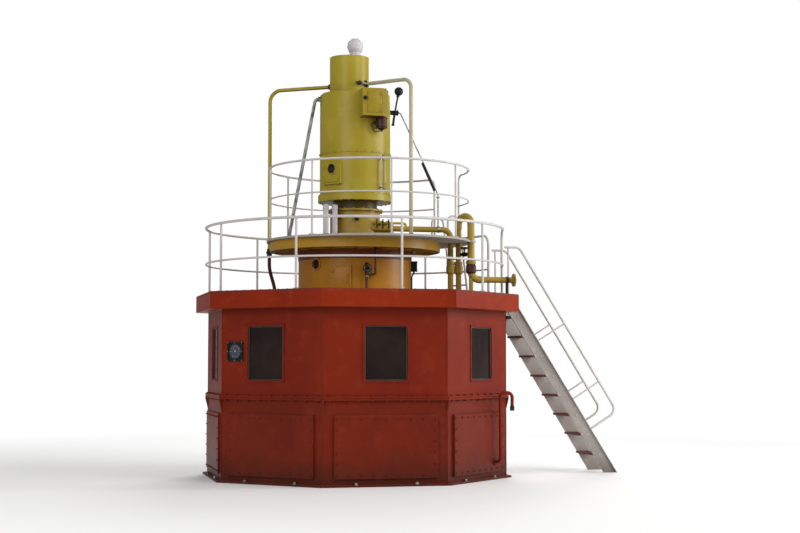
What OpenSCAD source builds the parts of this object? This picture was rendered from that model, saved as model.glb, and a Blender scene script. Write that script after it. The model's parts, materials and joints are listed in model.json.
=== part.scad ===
// Vertical shaft hydroelectric generator, from the machine hall floor up.
// An octagonal housing carries a roof deck with a guard rail. On the deck stand the
// bearing housing, a round service platform and the oil head column with its pipework.
// A steep steel stair leads up to the deck.
// Millimetres, +Z up. The origin is on the floor, on the shaft axis.
// The front faces -Y and the stair leaves towards +X.

/* [Housing] */
// Distance from the shaft axis to the outer face of each housing wall
housing_apothem = 2340; // [2200:10:2450]
// Thickness of the housing walls
wall_t = 60; // [40:5:80]
// Height of the top of the roof deck above the floor
deck_z = 3000; // [2900:10:3200]
// Height of the underside of the belt flange
belt_z = 1300; // [1150:10:1350]
// Thickness of each of the two plates in the belt flange
belt_plate = 28; // [20:1:40]
// Gap between the two plates of the belt flange
belt_gap = 4; // [2:1:10]
// Projection of the belt flange from the wall
belt_out = 45; // [30:5:80]
// Thickness of the base flange
base_t = 30; // [20:5:50]
// Projection of the base flange from the wall
base_out = 80; // [60:5:120]
// Diameter of the anchor bolt holes
anchor_d = 34; // [20:1:40]
// Number of anchor bolt holes, equally spaced on one circle
anchors = 16; // [16:16:16]

/* [Lower covers] */
// Width of the removable cover on each lower wall
cover_w = 1620; // [1200:10:1700]
// Height of the top edge of the lower covers
cover_top = 1080; // [900:10:1100]
// Height of the bottom edge of the lower covers
cover_bottom = 120; // [60:10:200]
// Projection of the lower covers from the wall
cover_out = 40; // [15:5:60]
// Drop of the corner gussets below the belt flange
gusset_drop = 200; // [120:10:220]

/* [Windows] */
// Width of each window
window_w = 670; // [500:10:700]
// Height of each window
window_h = 840; // [600:10:900]
// Height of the window sill above the floor
window_sill = 1600; // [1500:10:1650]
// Offset of the window on the slanting walls, away from the front and back
window_shift = 120; // [0:10:150]
// Width of the raised lip around each window
lip_w = 30; // [20:2:50]
// Projection of the raised lip
lip_out = 12; // [6:1:25]
// Thickness of the window panes
pane_t = 12; // [6:1:20]
// Depth of the panes behind the wall face
pane_inset = 20; // [10:1:30]
// Side of the small instrument window
instrument_w = 300; // [200:10:320]
// Distance of the instrument window from the middle of its wall
instrument_x = 700; // [680:5:720]
// Height of the middle of the instrument window
instrument_z = 2050; // [1900:10:2200]

/* [Roof] */
// Projection of the roof edge from the housing walls
roof_out = 200; // [160:10:300]
// Thickness of the roof deck plate
deck_t = 40; // [20:5:60]
// Height of the roof edge, deck plate included
fascia_h = 280; // [200:10:320]
// Thickness of the fascia
fascia_t = 40; // [20:5:60]
// Thickness of the soffit plate under the roof edge
soffit_t = 12; // [8:1:20]

/* [Roof guard rail] */
// Distance of the guard rail circle inside the roof edge
rail_inset = 55; // [50:5:180]
// Diameter of the top rail tube
rail_d = 44; // [42:1:50]
// Diameter of the post tubes
post_d = 38; // [36:1:40]
// Diameter of the middle rail tube
mid_rail_d = 32; // [26:1:34]
// Height of the top rail above the deck
rail_h = 1100; // [1000:10:1200]
// Height of the middle rail above the deck
rail_mid_h = 500; // [400:10:600]
// Number of bays in the guard rail
rail_bays = 9; // [9:3:12]
// Opening of the guard rail at the stair, in degrees
rail_gap_a = 18; // [17:1:24]
// Radius of the bend at the open ends of the top rail
rail_bend = 180; // [100:10:250]
// Diameter of the foot plate under each post
foot_d = 92; // [70:1:100]
// Thickness of the foot plate under each post
foot_t = 10; // [6:1:16]

/* [Bearing housing] */
// Radius of the bearing housing
bearing_r = 947; // [850:1:1000]
// Height of the bearing housing above the deck
bearing_h = 720; // [600:10:800]
// Projection of the bearing housing flanges
bearing_flange_out = 45; // [30:5:70]
// Thickness of the bearing housing flanges
bearing_flange_t = 30; // [20:5:50]
// Height of the ring on top of the bearing housing
bearing_ring_h = 150; // [100:10:180]
// Diameter of the round port in the bearing housing
port_d = 160; // [120:5:180]
// Height of the middle of the port above the deck
port_h = 480; // [300:10:550]
// Bearing of the port from the front, in degrees towards +X
port_a = -54; // [-70:1:-45]
// Width of the hatch on the bearing housing
hatch_w = 330; // [250:10:400]
// Height of the hatch on the bearing housing
hatch_h = 420; // [300:10:450]
// Bearing of the hatch from the front, in degrees towards +X
hatch_a = -25; // [-30:1:-15]

/* [Platform] */
// Radius of the platform disc
disc_r = 1430; // [1350:10:1480]
// Depth of the platform disc
disc_h = 160; // [120:10:200]
// Thickness of the disc's top plate, rim and ribs
disc_plate = 25; // [15:1:40]
// Number of ribs under the platform disc
disc_ribs = 16; // [8:1:24]
// Radius of the walkway grating
walkway_r = 1720; // [1650:10:1750]
// Offset of the walkway and its guard rail towards +X
walkway_x = 240; // [200:10:260]
// Thickness of the walkway grating
walkway_t = 35; // [25:5:50]
// Radius of the platform guard rail
deck_rail_r = 1680; // [1600:10:1690]
// Diameter of the platform's top rail tube
deck_rail_d = 36; // [34:1:44]
// Diameter of the platform's post tubes
deck_post_d = 31; // [29:1:32]
// Diameter of the platform's middle rail tube
deck_mid_d = 26; // [20:1:27]
// Height of the platform top rail above the walkway
deck_rail_h = 1200; // [1050:10:1250]
// Height of the platform middle rail above the walkway
deck_rail_mid_h = 670; // [500:10:700]
// Radius of the bend at the open ends of the platform's top rail
deck_rail_bend = 120; // [80:10:150]

/* [Platform ladder] */
// Distance between the ladder's side tubes
ladder_w = 460; // [400:10:500]
// Distance by which the ladder leans out at its foot
ladder_lean = 200; // [150:10:260]
// Height of the ladder's hoop above the walkway
ladder_hoop_h = 500; // [450:10:600]
// Reach of the ladder's hoop over the walkway
ladder_reach = 220; // [215:5:260]
// Diameter of the rungs
rung_d = 30; // [24:1:32]

/* [Oil head] */
// Radius of the oil head neck
neck_r = 420; // [350:5:440]
// Height of the neck above the platform disc
neck_h = 550; // [450:10:600]
// Radius of the dark ring between neck and column
ring_r = 370; // [300:5:400]
// Height of the dark ring
ring_h = 130; // [80:5:150]
// Radius of the column
column_r = 594; // [550:1:640]
// Height of the lower part of the column
column_low_h = 790; // [700:10:850]
// Height of the upper part of the column
column_up_h = 1040; // [900:10:1150]
// Projection of the column's bottom flange
column_flange_out = 30; // [20:2:50]
// Thickness of the column's bottom flange
column_flange_t = 110; // [60:5:130]
// Radius of the cylinder on top of the column
cap_r = 332; // [280:2:360]
// Height of the cylinder on top of the column
cap_h = 630; // [500:10:700]
// Offset of the top cylinder towards -X
cap_x = 100; // [0:5:120]
// Radius of the signal lamp
lamp_r = 138; // [100:2:160]
// Height of the signal lamp
lamp_h = 350; // [250:10:400]

/* [Column fittings] */
// Width of the control box on the front of the column
box_w = 480; // [400:10:500]
// Width of the box's cut corner, on its front and towards +X
box_cut_w = 130; // [60:10:180]
// Depth of the box's cut corner
box_cut_d = 220; // [100:10:240]
// Height of the control box
box_h = 460; // [350:10:500]
// Distance from the shaft axis to the front of the control box
box_front = 850; // [750:10:900]
// Offset of the middle of the control box towards +X
box_x = 190; // [160:5:220]
// Drop of the control box below the column's shoulder
box_drop = 10; // [0:5:60]
// Radius of the actuator under the control box
actuator_r = 90; // [60:5:110]
// Height of the actuator
actuator_h = 180; // [150:10:300]
// Width of the access plate on the lower column
plate_w = 360; // [300:10:400]
// Height of the access plate on the lower column
plate_h = 360; // [300:10:450]
// Bearing of the access plate from the front, in degrees towards +X
plate_a = -50; // [-60:1:-40]
// Diameter of the level gauge tube on the lower column
gauge_d = 46; // [30:2:60]
// Height of the level gauge
gauge_h = 600; // [400:10:660]
// Bearing of the level gauge from the front, in degrees towards +X
gauge_a = 34; // [25:1:45]
// Diameter of the black ball on the hand lever
ball_d = 150; // [100:5:160]

/* [Pipes] */
// Outer diameter of the arched vent pipes
arch_d = 64; // [50:1:80]
// Place of the left arched pipe's foot on the deck, along X
arch_left_x = -1330; // [-1400:10:-1250]
// Place of the left arched pipe's foot on the deck, along Y
arch_left_y = 800; // [700:10:900]
// Place of the right arched pipe's foot on the walkway, along X
arch_right_x = 753; // [740:1:800]
// Place of the right arched pipe's foot on the walkway, along Y
arch_right_y = -891; // [-920:1:-860]
// Radius of the left arched pipe's bend
arch_left_bend = 200; // [150:10:250]
// Radius of the right arched pipe's bend
arch_right_bend = 150; // [120:10:180]
// Height of the arched pipes above the column's shoulder
arch_h = 160; // [120:5:200]
// Outer diameter of the oil supply pipes
supply_d = 96; // [70:2:110]
// Place of the inner supply pipe's downpipe, along X
supply_inner_x = 1575; // [1560:5:1580]
// Distance between the two supply downpipes
supply_pitch = 140; // [138:1:150]
// Place of the supply pipes, along Y
supply_y = -335; // [-345:5:-320]
// Radius of the supply pipes' bends
supply_bend = 140; // [110:10:160]
// Distance of the supply pipes' small branch from the shaft axis, along X
branch_x = 1470; // [1400:10:1480]
// Place of the drain pipe's riser, along X
riser_x = 1860; // [1850:5:1880]
// Place of the drain pipe's riser, along Y
riser_y = -590; // [-620:5:-580]
// Outer diameter of the drain pipe's riser
riser_d = 120; // [90:2:130]
// Outer diameter of the drain pipe's run to the roof edge
drain_d = 100; // [80:2:110]
// Height of the drain run above the deck
drain_h = 260; // [200:10:300]
// Outer diameter of the flange at the end of the drain run
end_flange_d = 220; // [200:5:240]
// Bolt circle of the flange at the end of the drain run
end_pcd = 180; // [160:5:180]
// Number of bolt holes in the flange at the end of the drain run
end_bolts = 8; // [4:4:8]
// Diameter of the bolt holes in the flange at the end of the drain run
end_bolt_d = 18; // [12:1:18]
// Outer diameter of the corrugated conduit
conduit_d = 60; // [40:2:70]
// Distance of the conduit's lower end from the shaft axis
conduit_out = 1110; // [1060:10:1160]
// Outer diameter of the vent gooseneck on the front right wall
gooseneck_d = 54; // [40:2:60]
// Height of the vent gooseneck
gooseneck_h = 1390; // [1350:10:1450]
// Distance of the vent gooseneck from the middle of its wall, towards the stair
gooseneck_x = 500; // [420:10:560]
// Outer diameter of the thin control line
line_d = 24; // [16:1:32]

/* [Stair] */
// Width of the stair over its stringers
stair_w = 800; // [700:10:900]
// Number of risers from floor to deck
risers = 9; // [8:1:12]
// Going of each tread
going = 208; // [200:2:230]
// Depth of the stringer channels
stringer_d = 200; // [160:5:240]
// Width of the stringer channel flanges
stringer_w = 50; // [40:2:70]
// Thickness of the stringer plates
stringer_t = 12; // [8:1:16]
// Depth of each tread from front to back
tread_d = 230; // [220:5:240]
// Thickness of each tread
tread_t = 35; // [25:1:45]
// Height of the handrail above the line of the nosings
handrail_h = 1110; // [1000:10:1200]
// Diameter of the stair handrail tube
handrail_d = 40; // [34:1:48]
// Height of the level start of the handrail above the deck
handrail_start = 830; // [780:10:900]

/* [Hidden] */
$fn = 180;
tube_fn = 48;

sides = 8;
roof_apothem = housing_apothem + roof_out;
rail_r = roof_apothem - rail_inset;
// Clearance between pieces that are seated in or against each other
seat = 0.3;
// How far a cutter runs past the faces that it cuts
over = 5;
// Length of a weld sleeve, and how far it stands proud of its pipe
sleeve_l = 12;
sleeve_out = 1.5;

// Heights up the machine
belt_top = belt_z + 2 * belt_plate + belt_gap;
wall_top = deck_z - deck_t;
fascia_z = deck_z - fascia_h;
bearing_top = deck_z + bearing_h;
disc_top = bearing_top + disc_h;
walkway_top = disc_top + walkway_t;
neck_top = disc_top + neck_h;
column_z = neck_top + ring_h;
seam_z = column_z + column_low_h;
shoulder_z = seam_z + column_up_h;
cap_top = shoulder_z + cap_h;

red = [0.52, 0.15, 0.09];
bright_red = [0.60, 0.18, 0.07];
yellow = [0.66, 0.56, 0.18];
amber = [0.62, 0.42, 0.14];
rail_grey = [0.78, 0.76, 0.74];
dark = [0.12, 0.11, 0.11];
steel = [0.55, 0.55, 0.53];

// Shared geometry

// An octagon with flat sides at the given distance from the axis
module octagon(apothem) {
  rotate(180 / sides)
    circle(r = apothem / cos(180 / sides), $fn = sides);
}

// A ring between two octagons
module octagon_ring(outer, inner, h) {
  linear_extrude(height = h)
    difference() {
      octagon(outer);
      octagon(inner);
    }
}

// Half the length of a wall whose outer face is at the given distance
function half_side(apothem) = apothem * tan(180 / sides);

// Places its children on a wall: X along the wall, Y outwards, Z up, zero on the wall face
module on_wall(angle, apothem = housing_apothem) {
  rotate([0, 0, angle - 90])
    translate([0, apothem, 0])
      children();
}

// Places its children at a bearing from the front, with -Y pointing outwards
module at_bearing(angle) {
  rotate([0, 0, angle])
    children();
}

// A straight round bar or pipe between two points
module bar(a, b, d) {
  v = b - a;
  translate(a)
    rotate([0, acos(v.z / norm(v)), atan2(v.y, v.x)])
      cylinder(d = d, h = norm(v), $fn = tube_fn);
}

function unit(v) = v / norm(v);

// Angle through which a run turns at its middle point
function turn(a, p, b) = acos(unit(p - a) * unit(b - p));

// Length that a bend takes off each leg at the middle point
function setback(a, p, b, bend) = bend * tan(turn(a, p, b) / 2);

// A round bend of the given centreline radius at point p, between legs from a and to b
module elbow(a, p, b, bend, d) {
  u = unit(p - a);
  v = unit(b - p);
  n = unit(v - (u * v) * u);
  w = cross(-n, u);
  c = p - setback(a, p, b, bend) * u + bend * n;
  multmatrix([
    [-n.x, u.x, w.x, c.x],
    [-n.y, u.y, w.y, c.y],
    [-n.z, u.z, w.z, c.z],
    [0, 0, 0, 1]
  ])
    rotate_extrude(angle = turn(a, p, b))
      translate([bend, 0])
        circle(d = d, $fn = tube_fn);
}

// The weld sleeve where a bend meets a straight length, at point p along direction u
module sleeve(p, u, d) {
  bar(p - sleeve_l / 2 * u, p + sleeve_l / 2 * u, d + 2 * sleeve_out);
}

// A bent pipe along a list of corner points, with weld sleeves at both ends of each bend.
// The bend radius is one number, or a list with one for each corner.
module pipe_run(points, d, bend) {
  last = len(points) - 1;
  bends = is_list(bend) ? [0, each bend] : [for (p = points) bend];
  for (i = [0 : last - 1]) {
    a = points[i];
    b = points[i + 1];
    u = unit(b - a);
    cut_a = i == 0 ? 0 : setback(points[i - 1], a, b, bends[i]);
    cut_b = i == last - 1 ? 0 : setback(a, b, points[i + 2], bends[i + 1]);
    bar(a + cut_a * u, b - cut_b * u, d);
  }
  for (i = [1 : 1 : last - 1]) {
    a = points[i - 1];
    p = points[i];
    b = points[i + 1];
    cut = setback(a, p, b, bends[i]);
    elbow(a, p, b, bends[i], d);
    sleeve(p - cut * unit(p - a), unit(p - a), d);
    sleeve(p + cut * unit(b - p), unit(b - p), d);
  }
}

// A short disc around a pipe, from point p along direction v
module collar(p, v, d, t) {
  bar(p, p + t * unit(v), d);
}

// A stretch of rail tube round the axis, at radius r and height z
module rail_arc(r, d, z, from, sweep) {
  translate([0, 0, z])
    rotate([0, 0, from])
      rotate_extrude(angle = sweep)
        translate([r, 0])
          circle(d = d, $fn = tube_fn);
}

// Housing

module base_flange() {
  outer = housing_apothem + base_out;
  anchor_r = (housing_apothem + base_out / 2) / cos(180 / anchors);
  color(red)
    difference() {
      octagon_ring(outer, housing_apothem - wall_t, base_t);
      for (k = [0 : anchors - 1])
        rotate([0, 0, (k + 0.5) * 360 / anchors])
          translate([anchor_r, 0, -over])
            cylinder(d = anchor_d, h = base_t + 2 * over);
    }
}

// The removable cover on one lower wall, with a chamfered top edge
module lower_cover() {
  translate([-cover_w / 2, 0, 0])
    rotate([90, 0, 90])
      linear_extrude(height = cover_w)
        polygon([
          [0, cover_bottom],
          [cover_out, cover_bottom],
          [cover_out, cover_top - cover_out / 2],
          [cover_out / 2, cover_top],
          [0, cover_top]
        ]);
}

// The stiffener on one corner, from the belt flange down to the wall
module corner_gusset() {
  corner_r = housing_apothem / cos(180 / sides);
  tip = belt_out;
  gusset_t = 30;
  rotate([0, 0, 180 / sides])
    translate([corner_r - wall_t / 2, gusset_t / 2, 0])
      rotate([90, 0, 0])
        linear_extrude(height = gusset_t)
          polygon([
            [0, belt_z - gusset_drop],
            [wall_t / 2, belt_z - gusset_drop],
            [wall_t / 2 + tip, belt_z - tip / 2],
            [wall_t / 2 + tip, belt_z],
            [0, belt_z]
          ]);
}

module lower_housing() {
  color(red) {
    translate([0, 0, base_t])
      octagon_ring(housing_apothem, housing_apothem - wall_t, belt_z - base_t);
    for (k = [0 : sides - 1])
      on_wall(k * 360 / sides)
        lower_cover();
    for (k = [0 : sides - 1])
      rotate([0, 0, k * 360 / sides])
        corner_gusset();
  }
}

module belt_flange() {
  outer = housing_apothem + belt_out;
  inner = housing_apothem - wall_t;
  color(red)
    translate([0, 0, belt_z]) {
      octagon_ring(outer, inner, belt_plate);
      translate([0, 0, belt_plate])
        octagon_ring(housing_apothem, inner, belt_gap);
      translate([0, 0, belt_plate + belt_gap])
        octagon_ring(outer, inner, belt_plate);
    }
}

// The window's place along its wall: middle on the square walls, shifted on the slanting ones
function window_offset(angle) =
  abs(angle) % 90 == 0 ? 0 : (cos(angle) * sin(angle) > 0 ? window_shift : -window_shift);

// One wall panel, mitred at both ends, with its window cut through
module wall_panel(angle) {
  half_out = half_side(housing_apothem);
  half_in = half_side(housing_apothem - wall_t);
  x = window_offset(angle);
  color(red)
    on_wall(angle)
      difference() {
        union() {
          translate([0, 0, belt_top])
            linear_extrude(height = wall_top - belt_top)
              polygon([
                [-half_out, 0],
                [half_out, 0],
                [half_in, -wall_t],
                [-half_in, -wall_t]
              ]);
          translate([x - window_w / 2 - lip_w, 0, window_sill - lip_w])
            cube([window_w + 2 * lip_w, lip_out, window_h + 2 * lip_w]);
        }
        translate([x - window_w / 2, -wall_t - over, window_sill])
          cube([window_w, wall_t + lip_out + 2 * over, window_h]);
      }
}

module wall_front() { wall_panel(-90); }
module wall_front_right() { wall_panel(-45); }
module wall_right() { wall_panel(0); }
module wall_back_right() { wall_panel(45); }
module wall_back() { wall_panel(90); }
module wall_back_left() { wall_panel(135); }
module wall_left() { wall_panel(180); }
module wall_front_left() { wall_panel(-135); }

module window_panes() {
  color(dark)
    for (k = [0 : sides - 1]) {
      angle = k * 45 - 135;
      on_wall(angle)
        translate([window_offset(angle) - window_w / 2 + seat, -pane_inset - pane_t, window_sill + seat])
          cube([window_w - 2 * seat, pane_t, window_h - 2 * seat]);
    }
}

module instrument_window() {
  frame_w = 24;
  frame_out = 26;
  glass_t = 10;
  color(steel)
    on_wall(-135)
      translate([instrument_x, seat, instrument_z])
        rotate([-90, 0, 0]) {
          difference() {
            translate([-instrument_w / 2, -instrument_w / 2, 0])
              cube([instrument_w, instrument_w, frame_out]);
            translate([-instrument_w / 2 + frame_w, -instrument_w / 2 + frame_w, glass_t])
              cube([instrument_w - 2 * frame_w, instrument_w - 2 * frame_w, frame_out]);
          }
        }
}

// Roof

module roof_fascia() {
  color(bright_red)
    translate([0, 0, fascia_z]) {
      octagon_ring(roof_apothem, housing_apothem + seat, soffit_t);
      octagon_ring(roof_apothem, roof_apothem - fascia_t, fascia_h - deck_t);
    }
}

module roof_deck() {
  color(bright_red)
    translate([0, 0, wall_top])
      linear_extrude(height = deck_t)
        octagon(roof_apothem);
}

// Roof guard rail

rail_sweep = 360 - rail_gap_a;
rail_step = rail_sweep / rail_bays;
rail_first = rail_gap_a / 2;

// How far a length of rail runs on past the post at its start
rail_lap = 12;

// An angle on a circle of radius r, in degrees, for a length along it
function arc_a(length, r) = length / r * 180 / PI;

// A post with its foot plate, at a point on the floor that carries it
module post(p, h, d) {
  translate(p) {
    cylinder(d = foot_d, h = foot_t);
    cylinder(d = d, h = h, $fn = tube_fn);
  }
}

// A guard rail of two tubes round the axis, with posts at the given angles.
// Where an end is open, its top rail bends down into an end post.
module guard_rail(r, floor_z, h, mid_h, ds, bend, from, to, posts, open_start, open_end) {
  turn_a = arc_a(bend, r);
  lap_a = arc_a(ds[1] / 2 + rail_lap, r);
  top_from = from + (open_start ? turn_a : -lap_a);
  top_to = to - (open_end ? turn_a : lap_a + arc_a(seat, r));
  mid_from = from - (open_start ? 0 : lap_a);
  mid_to = to - (open_end ? 0 : lap_a + arc_a(seat, r));
  rail_arc(r, ds[0], floor_z + h, top_from, top_to - top_from);
  rail_arc(r, ds[2], floor_z + mid_h, mid_from, mid_to - mid_from);
  for (a = posts)
    post([r * cos(a), r * sin(a), floor_z], h, ds[1]);
  if (open_start)
    rail_end(r, floor_z, h, ds[0], bend, top_from, -1);
  if (open_end)
    rail_end(r, floor_z, h, ds[0], bend, top_to, 1);
}

// The open end of a top rail, bent down into its end post
module rail_end(r, floor_z, h, d, bend, angle, way) {
  q = [r * cos(angle), r * sin(angle), floor_z + h];
  t = way * [-sin(angle), cos(angle), 0];
  p = q + bend * t;
  down = [0, 0, -1];
  elbow(q, p, p + down, bend, d);
  sleeve(q, t, d);
  sleeve(p + bend * down, down, d);
  bar([p.x, p.y, floor_z], p + bend * down, d);
  translate([p.x, p.y, floor_z])
    cylinder(d = foot_d, h = foot_t);
}

// Some bays of the roof guard rail, from bay number first
module roof_rail_bays(first, count) {
  start = rail_first + first * rail_step;
  is_first = first == 0;
  is_last = first + count == rail_bays;
  color(rail_grey)
    guard_rail(
      rail_r, deck_z, rail_h, rail_mid_h, [rail_d, post_d, mid_rail_d], rail_bend,
      start, start + count * rail_step,
      [for (k = [(is_first ? 1 : 0) : count - 1]) start + k * rail_step],
      is_first, is_last
    );
}

third = rail_bays / 3;
module roof_rail_far() { roof_rail_bays(0, third); }
module roof_rail_left() { roof_rail_bays(third, third); }
module roof_rail_near() { roof_rail_bays(2 * third, third); }

// Bearing housing

module bearing_housing() {
  color(amber)
    difference() {
      translate([0, 0, deck_z]) {
        cylinder(r = bearing_r, h = bearing_h - bearing_ring_h);
        cylinder(r = bearing_r + bearing_flange_out, h = bearing_flange_t);
      }
      at_bearing(port_a)
        translate([0, -bearing_r + 80, deck_z + port_h])
          rotate([90, 0, 0])
            cylinder(d = port_d, h = 100);
    }
}

// The ring that carries the platform disc, with a flange on top
module bearing_ring() {
  lip = 8;
  color(bright_red)
    translate([0, 0, bearing_top - bearing_ring_h]) {
      cylinder(r = bearing_r + lip, h = bearing_ring_h);
      translate([0, 0, bearing_ring_h - bearing_flange_t])
        cylinder(r = bearing_r + bearing_flange_out, h = bearing_flange_t);
    }
}

module bearing_port_glass() {
  color(dark)
    at_bearing(port_a)
      translate([0, -bearing_r + 80 - seat, deck_z + port_h])
        rotate([90, 0, 0])
          cylinder(d = port_d - 2 * seat, h = 40);
}

module bearing_hatch() {
  out = 30;
  color(amber)
    at_bearing(hatch_a)
      difference() {
        translate([-hatch_w / 2, -bearing_r - out, deck_z + bearing_flange_t + seat])
          cube([hatch_w, 100, hatch_h]);
        translate([0, 0, deck_z])
          cylinder(r = bearing_r + seat, h = bearing_h);
      }
}

// A small drain valve on the front, on a leg from the deck, with a branch up to the platform
module bearing_drain_valve() {
  x = -20;
  y = -bearing_r - 80;
  z = deck_z + 400;
  branch_x = x + 145;
  branch_z = z - 100;
  body_d = 90;
  stem_d = 60;
  leg_d = 44;
  line = 34;
  color(dark) {
    difference() {
      bar([x, y + 100, z], [x, y - 40, z], body_d);
      translate([0, 0, deck_z])
        cylinder(r = bearing_r + seat, h = bearing_h);
    }
    bar([x, y, z - 130], [x, y, z + 70], stem_d);
    bar([x, y, deck_z], [x, y, z - 120], leg_d);
    pipe_run([
      [x, y, branch_z],
      [branch_x, y, branch_z],
      [branch_x, y, disc_top - disc_plate - seat]
    ], line, 40);
  }
}

// A terminal box on the right of the bearing housing
module bearing_terminal_box() {
  w = 140;
  h = 170;
  out = 90;
  color(dark)
    at_bearing(75)
      difference() {
        translate([-w / 2, -bearing_r - out, deck_z + 400])
          cube([w, 2 * out, h]);
        translate([0, 0, deck_z])
          cylinder(r = bearing_r + seat, h = bearing_h);
      }
}

// Platform

module platform_disc() {
  color(yellow)
    translate([0, 0, bearing_top])
      difference() {
        cylinder(r = disc_r, h = disc_h);
        difference() {
          translate([0, 0, -over])
            cylinder(r = disc_r - disc_plate, h = disc_h - disc_plate + over);
          cylinder(r = bearing_r + bearing_flange_out + disc_plate, h = disc_h);
          for (k = [0 : disc_ribs - 1])
            rotate([0, 0, (k + 0.5) * 360 / disc_ribs])
              translate([0, -disc_plate / 2, 0])
                cube([disc_r, disc_plate, disc_h]);
        }
      }
}

// Where the pipes pass the walkway, and how wide each hole is
supply_x = [supply_inner_x, supply_inner_x + supply_pitch];
supply_z = [disc_top + 230, disc_top + 450];
branch_top = supply_z[1] + 310;
riser = [riser_x, riser_y];
pipe_hole = 30;

module platform_walkway() {
  color(steel)
    translate([0, 0, disc_top])
      difference() {
        translate([walkway_x, 0, 0])
          cylinder(r = walkway_r, h = walkway_t);
        translate([0, 0, -over])
          cylinder(r = neck_r + 90, h = walkway_t + 2 * over);
        for (x = supply_x)
          translate([x, supply_y, -over])
            cylinder(d = supply_d + pipe_hole, h = walkway_t + 2 * over);
        translate([riser.x, riser.y, -over])
          cylinder(d = riser_d + pipe_hole, h = walkway_t + 2 * over);
      }
}

// Bearings of the platform rail posts, anticlockwise from +X
ladder_a = 22;
ladder_gap = 24;
gap_end = ladder_a + ladder_gap / 2;
gap_start = ladder_a - ladder_gap / 2;

module platform_rail(from, to, posts, open_start, open_end) {
  color(rail_grey)
    translate([walkway_x, 0, 0])
      guard_rail(
        deck_rail_r, walkway_top, deck_rail_h, deck_rail_mid_h,
        [deck_rail_d, deck_post_d, deck_mid_d], deck_rail_bend,
        from, to, posts, open_start, open_end
      );
}

module platform_rail_far() { platform_rail(gap_end, 180, [90, 135], true, false); }
module platform_rail_left() { platform_rail(180, 270, [180, 225], false, false); }
module platform_rail_near() { platform_rail(270, 360 + gap_start, [270, 315], false, true); }

// A short ladder from the deck to the gap in the platform rail
module platform_ladder() {
  rung_count = 3;
  half = ladder_w / 2;
  clear = 20;
  x0 = walkway_r + seat + clear;
  hoop_z = walkway_top + ladder_hoop_h;
  hoop_x = walkway_r - ladder_reach;
  climb = walkway_top - deck_z;
  color(rail_grey)
    translate([walkway_x, 0, 0])
      rotate([0, 0, ladder_a]) {
        for (s = [-1, 1])
          pipe_run([
            [x0 + ladder_lean, s * half, deck_z],
            [x0, s * half, hoop_z],
            [hoop_x, s * half, hoop_z],
            [hoop_x, s * half, walkway_top]
          ], deck_rail_d, 100);
        for (k = [1 : rung_count]) {
          z = deck_z + k * climb / (rung_count + 1);
          x = x0 + ladder_lean * (hoop_z - z) / (hoop_z - deck_z);
          bar([x, -half, z], [x, half, z], rung_d);
        }
      }
}

// Oil head and column

module flanged_tube(z0, z1, r, out, t) {
  translate([0, 0, z0]) {
    cylinder(r = r, h = z1 - z0);
    cylinder(r = r + out, h = t);
    translate([0, 0, z1 - z0 - t])
      cylinder(r = r + out, h = t);
  }
}

module oil_head_neck() {
  color(yellow)
    flanged_tube(disc_top, neck_top, neck_r, 50, 30);
}

module oil_head_ring() {
  color(dark)
    translate([0, 0, neck_top])
      cylinder(r = ring_r, h = ring_h);
}

module column_lower() {
  color(yellow)
    translate([0, 0, column_z]) {
      cylinder(r = column_r, h = column_low_h);
      cylinder(r = column_r + column_flange_out, h = column_flange_t);
    }
}

module column_upper() {
  joint_h = 30;
  joint_out = 8;
  edge = 20;
  color(yellow)
    translate([0, 0, seam_z])
      rotate_extrude()
        polygon([
          [0, 0],
          [column_r + joint_out, 0],
          [column_r + joint_out, joint_h],
          [column_r, joint_h],
          [column_r, column_up_h - edge],
          [column_r - edge, column_up_h],
          [0, column_up_h]
        ]);
}

module column_access_plate() {
  out = 35;
  eye_d = 170;
  z = column_z + column_flange_t + 150;
  color(yellow)
    at_bearing(plate_a)
      difference() {
        translate([-plate_w / 2, -column_r - out, z])
          cube([plate_w, 150, plate_h]);
        translate([0, 0, column_z])
          cylinder(r = column_r + seat, h = column_low_h);
        translate([0, -column_r + 100, z + plate_h * 0.72])
          rotate([90, 0, 0])
            cylinder(d = eye_d, h = 200);
      }
}

// An upright gauge tube with a short arm to the column at each end
module level_gauge() {
  arm_d = 30;
  out = column_r + column_flange_out + 45;
  z0 = column_z + column_flange_t + 50;
  color(yellow)
    at_bearing(gauge_a)
      difference() {
        union() {
          bar([0, -out, z0], [0, -out, z0 + gauge_h], gauge_d);
          for (z = [z0 + 60, z0 + gauge_h - 60])
            bar([0, -out, z], [0, -column_r + 60, z], arm_d);
        }
        translate([0, 0, column_z])
          cylinder(r = column_r + seat, h = column_low_h + column_up_h);
      }
}

module column_cap() {
  flange_out = 40;
  flange_t = 24;
  color(yellow)
    translate([-cap_x, 0, shoulder_z]) {
      cylinder(r = cap_r, h = cap_h);
      cylinder(r = cap_r + flange_out, h = flange_t);
    }
}

// A round globe in a socket
module signal_lamp() {
  socket_r = lamp_r - 40;
  rim_r = socket_r + 18;
  rim_h = 24;
  color(rail_grey)
    translate([0, 0, cap_top]) {
      cylinder(r = socket_r, h = lamp_h - lamp_r);
      cylinder(r = rim_r, h = rim_h);
      translate([0, 0, lamp_h - lamp_r])
        sphere(r = lamp_r);
    }
}

box_top = shoulder_z - box_drop;
box_z = box_top - box_h;
lever_x = column_r;
lever_y = -60;
lever_z = box_z + 190;
lever_arm = 120;

module control_box() {
  color(yellow)
    difference() {
      translate([box_x - box_w / 2, -box_front, box_z])
        linear_extrude(height = box_h)
          polygon([
            [0, 0],
            [box_w - box_cut_w, 0],
            [box_w, box_cut_d],
            [box_w, box_front],
            [0, box_front]
          ]);
      translate([0, 0, seam_z])
        cylinder(r = column_r + seat, h = column_up_h + over);
    }
}

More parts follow.
